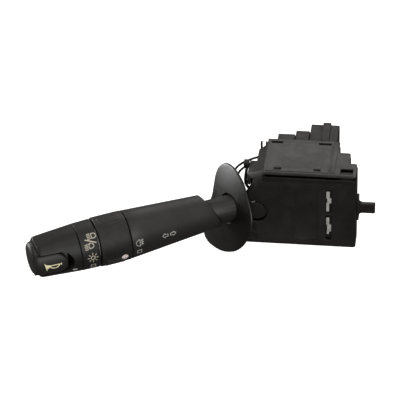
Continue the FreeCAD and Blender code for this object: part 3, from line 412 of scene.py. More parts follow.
acetal = plain("natural_acetal", (0.62, 0.60, 0.56), (0.50, 0.48, 0.44), 0.45)
phenolic = plain("brown_phenolic", (0.15, 0.085, 0.045), (0.10, 0.055, 0.03), 0.55, size_mm=1.2)
brass = plain("tinned_brass", (0.70, 0.64, 0.50), (0.55, 0.47, 0.33), 0.3, metallic=1.0, size_mm=1.5)
steel = plain("spring_steel", (0.56, 0.57, 0.58), (0.40, 0.40, 0.41), 0.3, metallic=1.0, size_mm=1.5)
INNER_FINISH = {
    # Painted shade: the detent cam is drawn black for the shadow deep in the slots.
    housing_nylon: ("detent_cam",),
    acetal: ("bearing_plate", "turn_yoke", "head_carrier", "cancel_carriage"),
    phenolic: ("contact_board", "turn_carrier", "beam_carrier"),
    brass: (
        "contact_tracks", "blades_small", "blades_medium", "blades_large", "turn_contacts", "beam_contacts",
        "light_tracks", "fog_tracks", "fog_wiper", "light_wiper", "horn_terminal", "horn_contact",
    ),
    steel: (
        "cancel_spring", "pull_pins", "detent_spring", "pull_spring", "detent_plunger", "stalk_tube",
        "horn_spring", "finger_pin",
    ),
}
for finish, node_names in INNER_FINISH.items():
    for node in node_names:
        for holder in cad_nodes[node].material_slots:
            holder.material = finish

# Slot tabs: the white acetal fronts that show in the housing's two slots, three blocks to a slot. Each
# three make a narrow bar with a wider jog, just behind the slot's edge.
TAB_FRONT, TAB_BACK = -9.22, -8.6
TAB_ROUND = 0.18
SLOT_TABS = [
    (36.5, 38.3, 29.7, 34.1), (37.0, 39.1, 26.8, 29.9), (36.5, 38.0, 21.8, 27.0),
    (36.5, 38.2, 13.4, 17.9), (37.0, 39.1, 9.2, 13.6), (36.8, 38.0, 7.6, 9.4),
]
aged_acetal = plain("aged_acetal", (0.42, 0.41, 0.39), (0.30, 0.29, 0.27), 0.5)
tab_shape = bmesh.new()
for left, right, low, high in SLOT_TABS:
    block = bmesh.ops.create_cube(tab_shape, size=1.0)["verts"]
    for vert in block:
        vert.co.x = left if vert.co.x < 0 else right
        vert.co.y = TAB_FRONT if vert.co.y < 0 else TAB_BACK
        vert.co.z = low if vert.co.z < 0 else high
    edges = list({edge for vert in block for edge in vert.link_edges})
    bmesh.ops.bevel(tab_shape, geom=edges, offset=TAB_ROUND, segments=3, affect="EDGES", profile=0.5)
tab_mesh = bpy.data.meshes.new("slot_tabs")
tab_shape.to_mesh(tab_mesh)
tab_shape.free()
tab_mesh.transform(Matrix.Scale(MM, 4))
piece_from(tab_mesh, "slot_tabs", aged_acetal, "housing")

# Cancelling finger: a stiff black nylon finger on a small steel pin at the housing's right end.
# The steering column's cam pushes it and so returns the lever.
ease("cancel_finger", 0.25, housing_nylon, "cancel_finger")

# Leads: two thin vinyl-covered wires run from the stalk over the housing's left end, and a short one
# goes down behind them. On the real switch they bend as the lever turns; here they are drawn in one pose
# and ride on no body. A black tie holds them together.
LEAD_THICK, SHORT_LEAD_THICK = 1.2, 1.6
LEAD_ROUTES = {
    "lead_upper": [
        (-12.6, -1.3, 21.7), (-12.3, 1.2, 22.6), (-12.6, 3.0, 25.0), (-13.2, 3.8, 29.0), (-13.3, 3.9, 33.0),
        (-12.3, 4.8, 36.2), (-10.1, 6.2, 38.1), (-7.5, 7.6, 39.1), (-4.6, 9.0, 39.8), (-1.6, 10.4, 40.4),
        (0.4, 10.7, 40.6),
    ],
    "lead_lower": [
        (-11.6, -1.8, 21.0), (-11.1, 0.8, 21.6), (-11.0, 2.3, 23.7), (-11.2, 3.0, 27.2), (-11.3, 3.2, 31.2),
        (-10.5, 3.8, 34.6), (-8.6, 4.4, 36.9), (-6.2, 5.0, 38.1), (-3.9, 5.8, 39.1), (-1.6, 6.7, 39.9),
        (0.4, 7.2, 40.2),
    ],
    "lead_short": [
        (-6.1, 5.6, 37.4), (-6.4, 4.6, 35.8), (-6.6, 3.4, 33.8), (-6.8, 2.0, 31.6), (-6.2, 0.6, 29.6),
        (-4.4, -0.6, 28.0), (-2.2, -1.4, 27.0),
    ],
}

lead_vinyl = plain("lead_vinyl", (0.006, 0.0056, 0.0052), (0.012, 0.011, 0.010), 0.55, size_mm=4.0)
surface_of(lead_vinyl).inputs["Specular IOR Level"].default_value = 0.15
for node, route in LEAD_ROUTES.items():
    line = bpy.data.curves.new(node + "_line", "CURVE")
    line.dimensions = "3D"
    line.bevel_depth = (SHORT_LEAD_THICK if node == "lead_short" else LEAD_THICK) / 2 * MM
    line.bevel_resolution = 5
    line.resolution_u = 10
    line.use_fill_caps = True
    spline = line.splines.new("NURBS")
    spline.points.add(len(route) - 1)
    for point, corner in zip(spline.points, route):
        point.co = (*(c * MM for c in corner), 1.0)
    spline.order_u = 3
    spline.use_endpoint_u = True
    path = placed(line, node + "_line")
    wire_mesh = settled(path)
    bpy.data.objects.remove(path)
    wire = piece_from(wire_mesh, node + "_wire", lead_vinyl, None)
    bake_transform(wire)
    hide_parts(node)
ease("cable_tie", 0.3, lead_vinyl, "housing")

# Lever root: the round neck that carries the stalk out of the housing, moulded round the steel tube.
# Everything on the stalk is drawn along the lever's own axis: s runs out to the tip, and angles are
# counted from the driver's side upwards. The neck's groove follows the handle's cut, so it comes there.
LEVER_SIDE_DEG = 27.0
LEVER_DROP_DEG = 2.1
lever_side, lever_drop = math.radians(LEVER_SIDE_DEG), math.radians(LEVER_DROP_DEG)
along = Vector((
    -math.cos(lever_side) * math.cos(lever_drop), -math.sin(lever_side) * math.cos(lever_drop),
    -math.sin(lever_drop),
))
to_driver = Vector((math.sin(lever_side), -math.cos(lever_side), 0.0))
upward = along.cross(to_driver)
pivot = Vector((0.0, 0.0, PIVOT_HEIGHT))
ON_LEVER = Matrix([
    (along[k] * MM, to_driver[k] * MM, upward[k] * MM, pivot[k] * MM) for k in range(3)
] + [(0.0, 0.0, 0.0, 1.0)])
AROUND = 144


def skinned(rows, looped=False, lids=False):
    """Joins rings of points with faces. A row of one point closes an end, or a flat lid does."""
    shape = bmesh.new()
    rings = [[shape.verts.new(point) for point in row] for row in rows]
    pairs = list(zip(rings, rings[1:]))
    if looped:
        pairs.append((rings[-1], rings[0]))
    for near, far in pairs:
        count = max(len(near), len(far))
        for k in range(count):
            nxt = (k + 1) % count
            corners = [near[k % len(near)], near[nxt % len(near)], far[nxt % len(far)], far[k % len(far)]]
            corners = list(dict.fromkeys(corners))
            if len(corners) > 2:
                shape.faces.new(corners)
    if lids:
        shape.faces.new(rings[0])
        shape.faces.new(list(reversed(rings[-1])))
    bmesh.ops.recalc_face_normals(shape, faces=shape.faces)
    return shape


def ring_row(s, radius, steps=AROUND):
    if radius == 0:
        return [(s, 0.0, 0.0)]
    angles = [2 * math.pi * k / steps for k in range(steps)]
    return [(s, radius * math.cos(a), radius * math.sin(a)) for a in angles]


def lathed(profile, looped=False):
    return skinned([ring_row(s, radius) for s, radius in profile], looped)


def on_lever_mesh(shape, name):
    mesh = bpy.data.meshes.new(name)
    shape.to_mesh(mesh)
    shape.free()
    mesh.transform(ON_LEVER)
    return mesh


def arc(centre, radius, first_deg, last_deg, steps=5):
    """Points of a rounded edge in a profile of (s, radius) pairs."""
    turns = [math.radians(first_deg + (last_deg - first_deg) * k / steps) for k in range(steps + 1)]
    return [(centre[0] + radius * math.cos(a), centre[1] + radius * math.sin(a)) for a in turns]


stalk_polyamide = moulded(
    "stalk_polyamide", (0.0118, 0.0110, 0.0103), (0.0185, 0.0172, 0.0160), roughness=0.47, gloss_level=0.36,
    grain_mm=0.3, grain_depth_mm=0.018, cloud_mm=14.0)

# Shield: a thin domed cover of polypropylene, clipped on the neck, which closes the opening in the
# steering column's cowl. It is smooth and a little glossier than the rest, with a rounded rim, and it
# dips into a shallow cup round the neck.
SHIELD_CENTRE = 15.0
SHIELD_SIDE_DEG = 40.0
SHIELD_RISE_DEG = 14.0
SHIELD_SPHERE = 105.0
SHIELD_CROWN = 2.2
SHIELD_THICK = 1.3
SHIELD_HALF_WIDTH = 18.0
SHIELD_OUTLINE = [
    (-24.1, -28.4), (-21.6, -15.5), (-17.6, -2.3), (-17.6, 2.3), (-18.2, 6.8), (-18.8, 11.2),
    (-17.8, 15.2), (-15.6, 17.8), (-12.3, 20.0), (-6.5, 20.9), (-0.3, 19.9), (6.3, 17.0),
    (12.8, 11.2), (17.8, 5.0), (19.6, -1.0), (18.9, -6.9), (16.0, -13.8),
    (10.8, -20.0), (4.5, -24.3), (-3.2, -27.8), (-12.3, -30.1), (-20.0, -31.0),
]
NECK_RADIUS = 7.0
HUB_RADIUS = 8.1
CUP_DEPTH, CUP_WALL = 1.8, 1.0
RIM_STEPS, SHEET_STEPS = 8, 20
HUB_FIT = 0.02

shield_side, shield_rise = math.radians(SHIELD_SIDE_DEG), math.radians(SHIELD_RISE_DEG)
shield_out = Vector((
    -math.cos(shield_side) * math.cos(shield_rise), -math.sin(shield_side) * math.cos(shield_rise),
    math.sin(shield_rise),
))
shield_across = Vector((0, 0, 1)).cross(shield_out).normalized()
shield_up = shield_out.cross(shield_across)
shield_middle = pivot + along * SHIELD_CENTRE


def smooth_loop(corners, between):
    """A closed Catmull-Rom line through the corners."""
    count = len(corners)
    line = []
    for k in range(count):
        p0, p1, p2, p3 = (Vector(corners[(k + j - 1) % count]) for j in range(4))
        for step in range(between):
            t = step / between
            line.append(0.5 * (
                2 * p1 + (p2 - p0) * t + (2 * p0 - 5 * p1 + 4 * p2 - p3) * t ** 2
                + (3 * p1 - p0 - 3 * p2 + p3) * t ** 3
            ))
    return line


def shield_point(flat, depth):
    """A point of the dome, depth below its outer face."""
    rise = math.sqrt(SHIELD_SPHERE ** 2 - flat.length_squared) - SHIELD_SPHERE + SHIELD_CROWN - depth
    return shield_middle + shield_across * flat.x + shield_up * flat.y + shield_out * rise


def hub_reach(flat, depth, radius):
    """How far out from the shield's middle its sheet comes this far from the lever's axis."""
    near, far = 0.0, 20.0
    for _ in range(24):
        reach = (near + far) / 2
        offset = shield_point(flat.normalized() * reach, depth) - pivot
        if (offset - along * offset.dot(along)).length < radius:
            near = reach
        else:
            far = reach
    return flat.normalized() * far


shield_edge = smooth_loop(SHIELD_OUTLINE, 7)
front_hub = [hub_reach(point, 0.0, HUB_RADIUS) for point in shield_edge]
back_hub = [hub_reach(point, SHIELD_THICK, HUB_RADIUS + CUP_WALL) for point in shield_edge]


def cup_row(hub, depth, back, radius):
    """A ring of the cup round the neck, set back along the lever from the sheet's inner edge."""
    row = []
    for flat in hub:
        offset = shield_point(flat, depth) - pivot
        along_lever = along * offset.dot(along)
        outwards = (offset - along_lever).normalized()
        row.append(pivot + along_lever - along * back + outwards * radius)
    return row


rim_inset = 1.0 - SHIELD_THICK / 2 / SHIELD_HALF_WIDTH


def sheet_row(hub, share, depth):
    """A ring of the sheet, this share of the way from the hub's edge to the rim."""
    return [
        shield_point(inner.lerp(outer * rim_inset, share), depth) for inner, outer in zip(hub, shield_edge)
    ]


shield_rows = [
    cup_row(front_hub, 0.0, CUP_DEPTH + CUP_WALL, NECK_RADIUS + HUB_FIT),
    cup_row(front_hub, 0.0, CUP_DEPTH, NECK_RADIUS + HUB_FIT),
    cup_row(front_hub, 0.0, CUP_DEPTH, HUB_RADIUS - 0.1),
    cup_row(front_hub, 0.0, 0.3, HUB_RADIUS - 0.05),
]
shield_rows += [sheet_row(front_hub, k / SHEET_STEPS, 0.0) for k in range(SHEET_STEPS)]
for step in range(RIM_STEPS + 1):
    turn = math.pi * step / RIM_STEPS
    shield_rows.append([
        shield_point(point - point.normalized() * SHIELD_THICK / 2 * (1 - math.sin(turn)),
                     SHIELD_THICK / 2 * (1 - math.cos(turn)))
        for point in shield_edge
    ])
shield_rows += [sheet_row(back_hub, share, SHIELD_THICK) for share in (0.8, 0.5, 0.25, 0.0)]
shield_rows.append(cup_row(back_hub, SHIELD_THICK, CUP_DEPTH, HUB_RADIUS + CUP_WALL))
shield_shape = skinned(shield_rows, looped=True)
shield_mesh = bpy.data.meshes.new("shield_sheet")
shield_shape.to_mesh(shield_mesh)
shield_shape.free()
shield_mesh.transform(Matrix.Scale(MM, 4))
shield_polypropylene = moulded(
    "shield_polypropylene", (0.0034, 0.0031, 0.0029), (0.0062, 0.0057, 0.0050), roughness=0.36,
    gloss_level=0.46, grain_mm=0.3, grain_depth_mm=0.008, cloud_mm=16.0)
shield_piece = piece_from(shield_mesh, "shield_dome", shield_polypropylene, "lever")
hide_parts("shield")

# Handle: a hollow polyamide sleeve that widens towards the knobs. Its root is cut off at a slant, and
# leans up a little from the tube's axis. It is pressed on the carrier and doesn't turn, and a fine groove
# lies in the neck beside its cut.
HANDLE_ROOT, HANDLE_ROOT_RADIUS = 16.0, 8.77
HANDLE_EDGE = 72.6
HANDLE_END = 72.9
HANDLE_RADIUS = 12.78
HANDLE_CUT = 26.0
CUT_RISE_DEG = 20.8
CUT_TURN_DEG = 11.6
HANDLE_LEAN = 1.21
HANDLE_HIGH_DEG = 126.0
CARRIER_RADIUS = 9.2
RIM_PROFILE = [
    (5.0, 1.2), (0.35, 1.2), (0.1, 1.1), (0.0, 0.9), (0.0, 0.6), (0.1, 0.3), (0.4, 0.08), (1.0, 0.0),
]
RIM_LENGTH = 1.0
GROOVE_WIDE, GROOVE_RADIUS = 1.0, 6.1
GROOVE_OUTSIDE, GROOVE_UNDER_HANDLE = 9.0, 1.5
SLEEVE_BORES = [(60.0, CARRIER_RADIUS + 0.05), (40.0, NECK_RADIUS + HUB_FIT)]
BODY_SHARES = [0.1, 0.25, 0.4, 0.55, 0.7, 0.85, 1.0]


def handle_point(s, angle, inward=0.0):
    share = (s - HANDLE_ROOT) / (HANDLE_EDGE - HANDLE_ROOT)
    radius = HANDLE_ROOT_RADIUS + (HANDLE_RADIUS - HANDLE_ROOT_RADIUS) * share - inward
    lean = HANDLE_LEAN * (1 - share)
    high = math.radians(HANDLE_HIGH_DEG)
    to_side = lean * math.cos(high) + radius * math.cos(angle)
    to_top = lean * math.sin(high) + radius * math.sin(angle)
    return Vector((s, to_side, to_top))


def cut_place(angle):
    """Where the slanted cut meets the sleeve's outer face."""
    sideways = -math.tan(math.radians(CUT_TURN_DEG))
    rising = math.tan(math.radians(CUT_RISE_DEG)) / math.cos(math.radians(CUT_TURN_DEG))
    s = HANDLE_CUT
    for _ in range(12):
        point = handle_point(s, angle)
        s = HANDLE_CUT + sideways * point.y + rising * point.z
    return s


handle_angles = [2 * math.pi * k / AROUND for k in range(AROUND)]
cuts = [cut_place(angle) for angle in handle_angles]
handle_rows = [ring_row(36.0, NECK_RADIUS + HUB_FIT), ring_row(35.0, 9.0)]
for further, inward in RIM_PROFILE:
    handle_rows.append([handle_point(c + further, a, inward) for c, a in zip(cuts, handle_angles)])
for share in BODY_SHARES:
    handle_rows.append([
        handle_point(c + RIM_LENGTH + (HANDLE_EDGE - c - RIM_LENGTH) * share, a)
        for c, a in zip(cuts, handle_angles)
    ])
handle_mouth = [
    (HANDLE_EDGE + 0.2, HANDLE_RADIUS - 0.08), (HANDLE_END, HANDLE_RADIUS - 0.3),
    (HANDLE_END, CARRIER_RADIUS + 0.05),
]
handle_rows += [ring_row(s, radius) for s, radius in handle_mouth + SLEEVE_BORES]
groove_section = [
    (-GROOVE_WIDE, GROOVE_RADIUS), (-GROOVE_WIDE, GROOVE_OUTSIDE),
    (GROOVE_UNDER_HANDLE, GROOVE_OUTSIDE), (GROOVE_UNDER_HANDLE, GROOVE_RADIUS),
]
groove_rows = []
for further, radius in groove_section:
    groove_rows.append([
        (c + further, radius * math.cos(a), radius * math.sin(a)) for c, a in zip(cuts, handle_angles)
    ])
neck_groove = placed(on_lever_mesh(skinned(groove_rows, looped=True), "neck_groove"), "neck_groove")
ease("lever_root", 0.12, stalk_polyamide, "lever", neck_groove)
bpy.data.objects.remove(neck_groove)
handle_mesh = on_lever_mesh(skinned(handle_rows, looped=True), "handle_sleeve")
handle_piece = piece_from(handle_mesh, "handle_sleeve", stalk_polyamide, "lever")
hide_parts("handle")

# Fog-lamp ring: a rougher black sleeve that turns on the carrier. It has three groups of four
# moulded ribs for the fingers, and years of hands have scratched it.
RING_START, RING_END = 73.4, 89.5
RING_RADIUS = 13.0
RING_BORE = 9.25
RIB_GROUPS, RIBS_A_GROUP = 3, 4
RIB_PITCH_DEG = 8.0
RIB_FIRST_DEG = 84.0
RIB_START, RIB_END = 77.0, 87.2
RIB_HALF, RIB_TALL, RIB_SUNK = 0.5, 0.28, 0.6
RIB_ROUND = 0.3

ring_polyamide = moulded(
    "ring_polyamide", (0.0100, 0.0088, 0.0078), (0.0175, 0.0155, 0.0135), roughness=0.50, gloss_level=0.32,
    grain_mm=0.4, grain_depth_mm=0.03, cloud_mm=4.0, scratches=0.5)
ring_mesh = on_lever_mesh(lathed([
    (RING_START, RING_BORE), *arc((RING_START + 0.35, RING_RADIUS - 0.4), 0.35, 180, 90),
    (RING_START + 3, RING_RADIUS), (RING_END - 2, RING_RADIUS),
    *arc((RING_END - 0.5, RING_RADIUS - 0.5), 0.5, 90, 0), (RING_END, RING_BORE),
], looped=True), "ring_sleeve")

rib_shape = bmesh.new()
bmesh.ops.create_cube(rib_shape, size=1.0)
for vert in rib_shape.verts:
    vert.co.x = RIB_START if vert.co.x < 0 else RIB_END
    vert.co.y = RING_RADIUS + (RIB_TALL if vert.co.y > 0 else -RIB_SUNK)
    vert.co.z *= RIB_HALF * 2
bmesh.ops.bevel(
    rib_shape, geom=[e for e in rib_shape.edges if all(v.co.y > RING_RADIUS for v in e.verts)],
    offset=RIB_ROUND, segments=3, affect="EDGES", profile=0.5)
rib_mesh = bpy.data.meshes.new("grip_rib")
rib_shape.to_mesh(rib_mesh)
rib_shape.free()
rib_sample = placed(rib_mesh, "grip_rib")


def rib_tree():
    """Repeats one rib round the lever's axis in evenly spaced groups."""
    tree = bpy.data.node_groups.new("grip_ribs", "GeometryNodeTree")
    tree.interface.new_socket("Geometry", in_out="OUTPUT", socket_type="NodeSocketGeometry")
    for name, kind in (
        ("Rib", "Object"), ("Groups", "Int"), ("Ribs a group", "Int"), ("Pitch", "Float"),
        ("First angle", "Float"), ("Finish", "Material"),
    ):
        tree.interface.new_socket(name, in_out="INPUT", socket_type="NodeSocket" + kind)
    given = tree.nodes.new("NodeGroupInput").outputs

    def sum_of(operation, first, second):
        node = tree.nodes.new("ShaderNodeMath")
        node.operation = operation
        for socket, value in ((node.inputs[0], first), (node.inputs[1], second)):
            if isinstance(value, (int, float)):
                socket.default_value = value
            else:
                tree.links.new(value, socket)
        return node.outputs["Value"]

    index = tree.nodes.new("GeometryNodeInputIndex").outputs["Index"]
    group = sum_of("FLOOR", sum_of("DIVIDE", index, given["Ribs a group"]), 0)
    in_group = sum_of("SUBTRACT", index, sum_of("MULTIPLY", group, given["Ribs a group"]))
    middle = sum_of("MULTIPLY", sum_of("SUBTRACT", given["Ribs a group"], 1), 0.5)
    off_middle = sum_of("SUBTRACT", in_group, middle)
    angle = sum_of("ADD", given["First angle"], sum_of("MULTIPLY", off_middle, given["Pitch"]))
    angle = sum_of("ADD", angle, sum_of("MULTIPLY", group, sum_of("DIVIDE", 2 * math.pi, given["Groups"])))
    points = tree.nodes.new("GeometryNodePoints")
    tree.links.new(sum_of("MULTIPLY", given["Groups"], given["Ribs a group"]), points.inputs["Count"])
    turn = tree.nodes.new("ShaderNodeCombineXYZ")
    tree.links.new(angle, turn.inputs["X"])
    sample = tree.nodes.new("GeometryNodeObjectInfo")
    tree.links.new(given["Rib"], sample.inputs["Object"])
    repeat = tree.nodes.new("GeometryNodeInstanceOnPoints")
    tree.links.new(points.outputs[0], repeat.inputs["Points"])
    tree.links.new(sample.outputs["Geometry"], repeat.inputs["Instance"])
    tree.links.new(turn.outputs["Vector"], repeat.inputs["Rotation"])
    real = tree.nodes.new("GeometryNodeRealizeInstances")
    tree.links.new(repeat.outputs["Instances"], real.inputs["Geometry"])
    finish = tree.nodes.new("GeometryNodeSetMaterial")
    tree.links.new(real.outputs["Geometry"], finish.inputs["Geometry"])
    tree.links.new(given["Finish"], finish.inputs["Material"])
    result = tree.nodes.new("NodeGroupOutput")
    tree.links.new(finish.outputs["Geometry"], result.inputs["Geometry"])
    return tree


rib_holder = placed(bpy.data.meshes.new("grip_ribs"), "grip_ribs")
rib_maker = rib_holder.modifiers.new("ribs", "NODES")
rib_maker.node_group = rib_tree()
RIB_INPUTS = {
    "Rib": rib_sample, "Groups": RIB_GROUPS, "Ribs a group": RIBS_A_GROUP, "Finish": ring_polyamide,
    "Pitch": math.radians(RIB_PITCH_DEG), "First angle": math.radians(RIB_FIRST_DEG),
}
for socket in rib_maker.node_group.interface.items_tree:
    if socket.in_out == "INPUT":
        rib_maker[socket.identifier] = RIB_INPUTS[socket.name]
ribs = settled(rib_holder)
ribs.transform(ON_LEVER)
bpy.data.objects.remove(rib_holder)
bpy.data.objects.remove(rib_sample)
joined = bmesh.new()
joined.from_mesh(ring_mesh)
joined.from_mesh(ribs)
joined.to_mesh(ring_mesh)
joined.free()
ring_piece = piece_from(ring_mesh, "ring_sleeve", ring_polyamide, "fog_ring")
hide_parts("fog_ring")

# Symbol band: a fixed sleeve between the two turning ones, moulded of a slightly darker polyamide, with
# a thin lid at its far end. The lamp symbols are printed on it.
BAND_START, BAND_END = 90.4, 99.75
BAND_RADIUS = (12.65, 12.4)
BAND_MIDDLE = (95.0, 12.53)
BAND_EDGE = 0.3
BAND_LIP_START, BAND_LIP_RADIUS = 90.1, 11.0
BAND_LID_START, BAND_LID_BORE = 98.8, 6.62
BAND_BORE = CARRIER_RADIUS + 0.05
band_polyamide = moulded(
    "band_polyamide", (0.0086, 0.0080, 0.0075), (0.0136, 0.0127, 0.0118), roughness=0.48, gloss_level=0.30,
    grain_mm=0.3, grain_depth_mm=0.018, cloud_mm=11.0)
band_mesh = on_lever_mesh(lathed([
    (BAND_LIP_START, BAND_BORE), (BAND_LIP_START, BAND_LIP_RADIUS), (BAND_START, BAND_LIP_RADIUS),
    *arc((BAND_START + BAND_EDGE, BAND_RADIUS[0] - BAND_EDGE), BAND_EDGE, 180, 90), BAND_MIDDLE,
    *arc((BAND_END - BAND_EDGE, BAND_RADIUS[1] - BAND_EDGE), BAND_EDGE, 90, 0), (BAND_END, BAND_LID_BORE),
    (BAND_LID_START, BAND_LID_BORE), (BAND_LID_START, BAND_BORE),
], looped=True), "band_sleeve")
band_piece = piece_from(band_mesh, "band_sleeve", band_polyamide, "lever")
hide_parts("symbol_band")

# Light knob: a thick-walled turning knob with a slot for the horn button's tongue. A flat on its
# upper side shows which way it is turned, and a printed bar marks its place beside the band.
KNOB_START, KNOB_END = 100.0, 121.8
KNOB_RADIUS = (12.35, 10.7)
KNOB_BORE = 9.0
KNOB_HUB_END = KNOB_START + 5
KNOB_HUB_BORE, KNOB_HUB_RADIUS = 4.05, 4.4
KNOB_FLOOR = 103.5
KNOB_FACE_RADIUS = 9.5
KNOB_LINES, KNOB_LINE_PITCH = 22, 0.9
KNOB_NOSE, KNOB_NOSE_ROUND = (120.1, 9.2), 1.55
FLAT_START = 109.9
FLAT_MID_DEG = 85.0
FLAT_SLOPE_DEG = 9.5
FLAT_SOFTNESS = 0.12
TONGUE_HALF = 5.8
TONGUE_START = 107.2
SLOT_START = 104.1
SLOT_HALF = 6.25
SLOT_END = 127.0
SLOT_LOW, SLOT_HIGH = 2.0, 20.0
SLOT_MIDDLE = 112.0
SIDE_STEPS = 14


def knob_radius(s):
    return KNOB_RADIUS[0] + (KNOB_RADIUS[1] - KNOB_RADIUS[0]) * (s - KNOB_START) / (KNOB_END - KNOB_START)


def knob_row(s, radius):
    """One ring of the knob, pressed in softly where the flat lies."""
    row = []
    height = knob_radius(FLAT_START) - (s - FLAT_START) * math.tan(math.radians(FLAT_SLOPE_DEG))
    for x, y, z in ring_row(s, radius):
        turn = math.atan2(z, y) - math.radians(FLAT_MID_DEG)
        reach = radius
        if math.cos(turn) > 0.1:
            limit = height / math.cos(turn)
            share = min(max(0.5 + 0.5 * (limit - radius) / FLAT_SOFTNESS, 0.0), 1.0)
            reach = limit + (radius - limit) * share - FLAT_SOFTNESS * share * (1 - share) * 0.5
            reach = min(reach, radius)
        row.append((x, y * reach / radius, z * reach / radius))
    return row


def stadium(start, half, end, steps=24):
    """The tongue's outline: a round end towards the handle and straight sides, as (s, across) pairs."""
    turns = [math.pi * (0.5 + k / steps) for k in range(steps + 1)]
    round_end = [(start + half + half * math.cos(a), half * math.sin(a)) for a in turns]
    reach = end - start - half
    side = [(start + half + reach * k / SIDE_STEPS, -half) for k in range(1, SIDE_STEPS + 1)]
    return round_end + side + [(s, -across) for s, across in reversed(side)]


knob_polyamide = moulded(
    "knob_polyamide", (0.0088, 0.0082, 0.0077), (0.0140, 0.0130, 0.0121), roughness=0.48, gloss_level=0.30,
    grain_mm=0.3, grain_depth_mm=0.018, cloud_mm=11.0)
knob_lines = [KNOB_START + 0.35 + k * KNOB_LINE_PITCH for k in range(KNOB_LINES)]
knob_rows = [
    ring_row(KNOB_HUB_END, KNOB_HUB_BORE), ring_row(KNOB_START, KNOB_HUB_BORE),
    ring_row(KNOB_START, KNOB_FACE_RADIUS),
]
knob_rows += [knob_row(s, r) for s, r in arc((KNOB_START + 0.3, KNOB_RADIUS[0] - 0.32), 0.3, 180, 90, 3)]
knob_rows += [knob_row(s, knob_radius(s)) for s in knob_lines]
knob_rows += [knob_row(s, r) for s, r in arc(KNOB_NOSE, KNOB_NOSE_ROUND, 75, 0, 6)]
knob_rows += [
    ring_row(KNOB_END, KNOB_BORE + 0.3), ring_row(KNOB_END - 0.4, KNOB_BORE),
    ring_row(KNOB_FLOOR, KNOB_BORE), ring_row(KNOB_FLOOR, KNOB_HUB_RADIUS),
    ring_row(KNOB_HUB_END, KNOB_HUB_RADIUS),
]
knob_body = placed(on_lever_mesh(skinned(knob_rows, looped=True), "knob_body"), "knob_body")
slot_outline = stadium(SLOT_START, SLOT_HALF, SLOT_END)
slot_rows = [
    [(SLOT_MIDDLE, SLOT_LOW, 0.0)],
    [(s, SLOT_LOW, across) for s, across in slot_outline],
    [(s, SLOT_HIGH, across) for s, across in slot_outline],
    [(SLOT_MIDDLE, SLOT_HIGH, 0.0)],
]
slot_tool = placed(on_lever_mesh(skinned(slot_rows), "slot_tool"), "slot_tool")
carve = knob_body.modifiers.new("slot", "BOOLEAN")
carve.operation = "DIFFERENCE"
carve.object = slot_tool
carve.solver = "EXACT"
knob_mesh = settled(knob_body)
bpy.data.objects.remove(knob_body)
bpy.data.objects.remove(slot_tool)
knob_piece = piece_from(knob_mesh, "knob_body", knob_polyamide, "light_knob")
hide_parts("light_knob")

# Horn button: a round cap at the tip with a tongue that lies in the knob's slot. It slides in along
# the axis and comes back on a spring, so a clear gap stays round it. A thin skirt reaches into the knob.
CAP_START = 122.9
CAP_RADIUS = 8.8
CAP_EDGE = 2.6
TIP_END = 124.9
TONGUE_FALLS, TONGUE_END = 119.8, 124.6
TONGUE_EDGE, TONGUE_GAP = 0.9, 0.1
TONGUE_FOOT, TONGUE_DROP = 7.4, 3.6
TONGUE_INSETS = (1.6, 2.5, 3.6, 4.7, 5.5, 5.79)
EDGE_STEPS = 6
SKIRT_START, SKIRT_RADIUS, SKIRT_WALL = 106.6, 8.7, 0.7
STEM_START, STEM_END, STEM_RADIUS = 106.0, CAP_START + 1, 2.2


def tongue_radius(s):
    """The tongue's outer face: the knob's cone, then a round fall to the cap's face."""
    if s < TONGUE_FALLS:
        return knob_radius(s) - TONGUE_GAP
    fall = min((s - TONGUE_FALLS) / (TONGUE_END - TONGUE_FALLS + 0.6), 1.0)
    return knob_radius(TONGUE_FALLS) - TONGUE_GAP - TONGUE_DROP * (1 - math.sqrt(1 - fall ** 2))


def tongue_row(inset, drop):
    row = []
    for s, across in stadium(TONGUE_START + inset, TONGUE_HALF - inset, TONGUE_END - inset * 0.2):
        row.append((s, math.sqrt(tongue_radius(s) ** 2 - across ** 2) - drop, across))
    return row


tongue_rows = [[(s, TONGUE_FOOT, across) for s, across in stadium(TONGUE_START, TONGUE_HALF, TONGUE_END)]]
for step in range(EDGE_STEPS + 1):
    turn = math.pi / 2 * step / EDGE_STEPS
    tongue_rows.append(tongue_row(TONGUE_EDGE * (1 - math.cos(turn)), TONGUE_EDGE * (1 - math.sin(turn))))
tongue_rows += [tongue_row(inset, 0.0) for inset in TONGUE_INSETS]
button_parts = {
    "tongue": skinned(tongue_rows, lids=True),
    "cap": lathed([
        (CAP_START, 0), (CAP_START, CAP_RADIUS - 0.45), (CAP_START + 0.15, CAP_RADIUS - 0.2),
        *arc((TIP_END - CAP_EDGE, CAP_RADIUS - CAP_EDGE), CAP_EDGE, 90, 8, 9),
        (TIP_END + 0.35, 4.0), (TIP_END + 0.7, 1.6), (TIP_END + 0.78, 0),
    ]),
    "stem": lathed([(STEM_START, 0), (STEM_START, STEM_RADIUS), (STEM_END, STEM_RADIUS), (STEM_END, 0)]),
    "skirt": lathed([
        (SKIRT_START, SKIRT_RADIUS - SKIRT_WALL), (SKIRT_START, SKIRT_RADIUS),
        (CAP_START, SKIRT_RADIUS), (CAP_START, SKIRT_RADIUS - SKIRT_WALL),
    ], looped=True),
}
joined = bmesh.new()
for name, shape in button_parts.items():
    joined.from_mesh(on_lever_mesh(shape, name))
button_mesh = bpy.data.meshes.new("horn_cap")
joined.to_mesh(button_mesh)
joined.free()
button_piece = piece_from(button_mesh, "horn_cap", stalk_polyamide, "horn_button")
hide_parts("horn_button")

# Printed symbols: pad-printed ink, a few hundredths of a millimetre thick, laid on the surface that
# carries it. Right in a symbol is towards the housing, and up is round the stalk, upwards.
INK_PROUD, INK_SUNK = 0.03, 0.05
INK_STEP = 0.45
INK_RADIUS = 12.4
RAY_FROM = 25.0
STROKE = 0.42
LAMP_HALF = 1.35


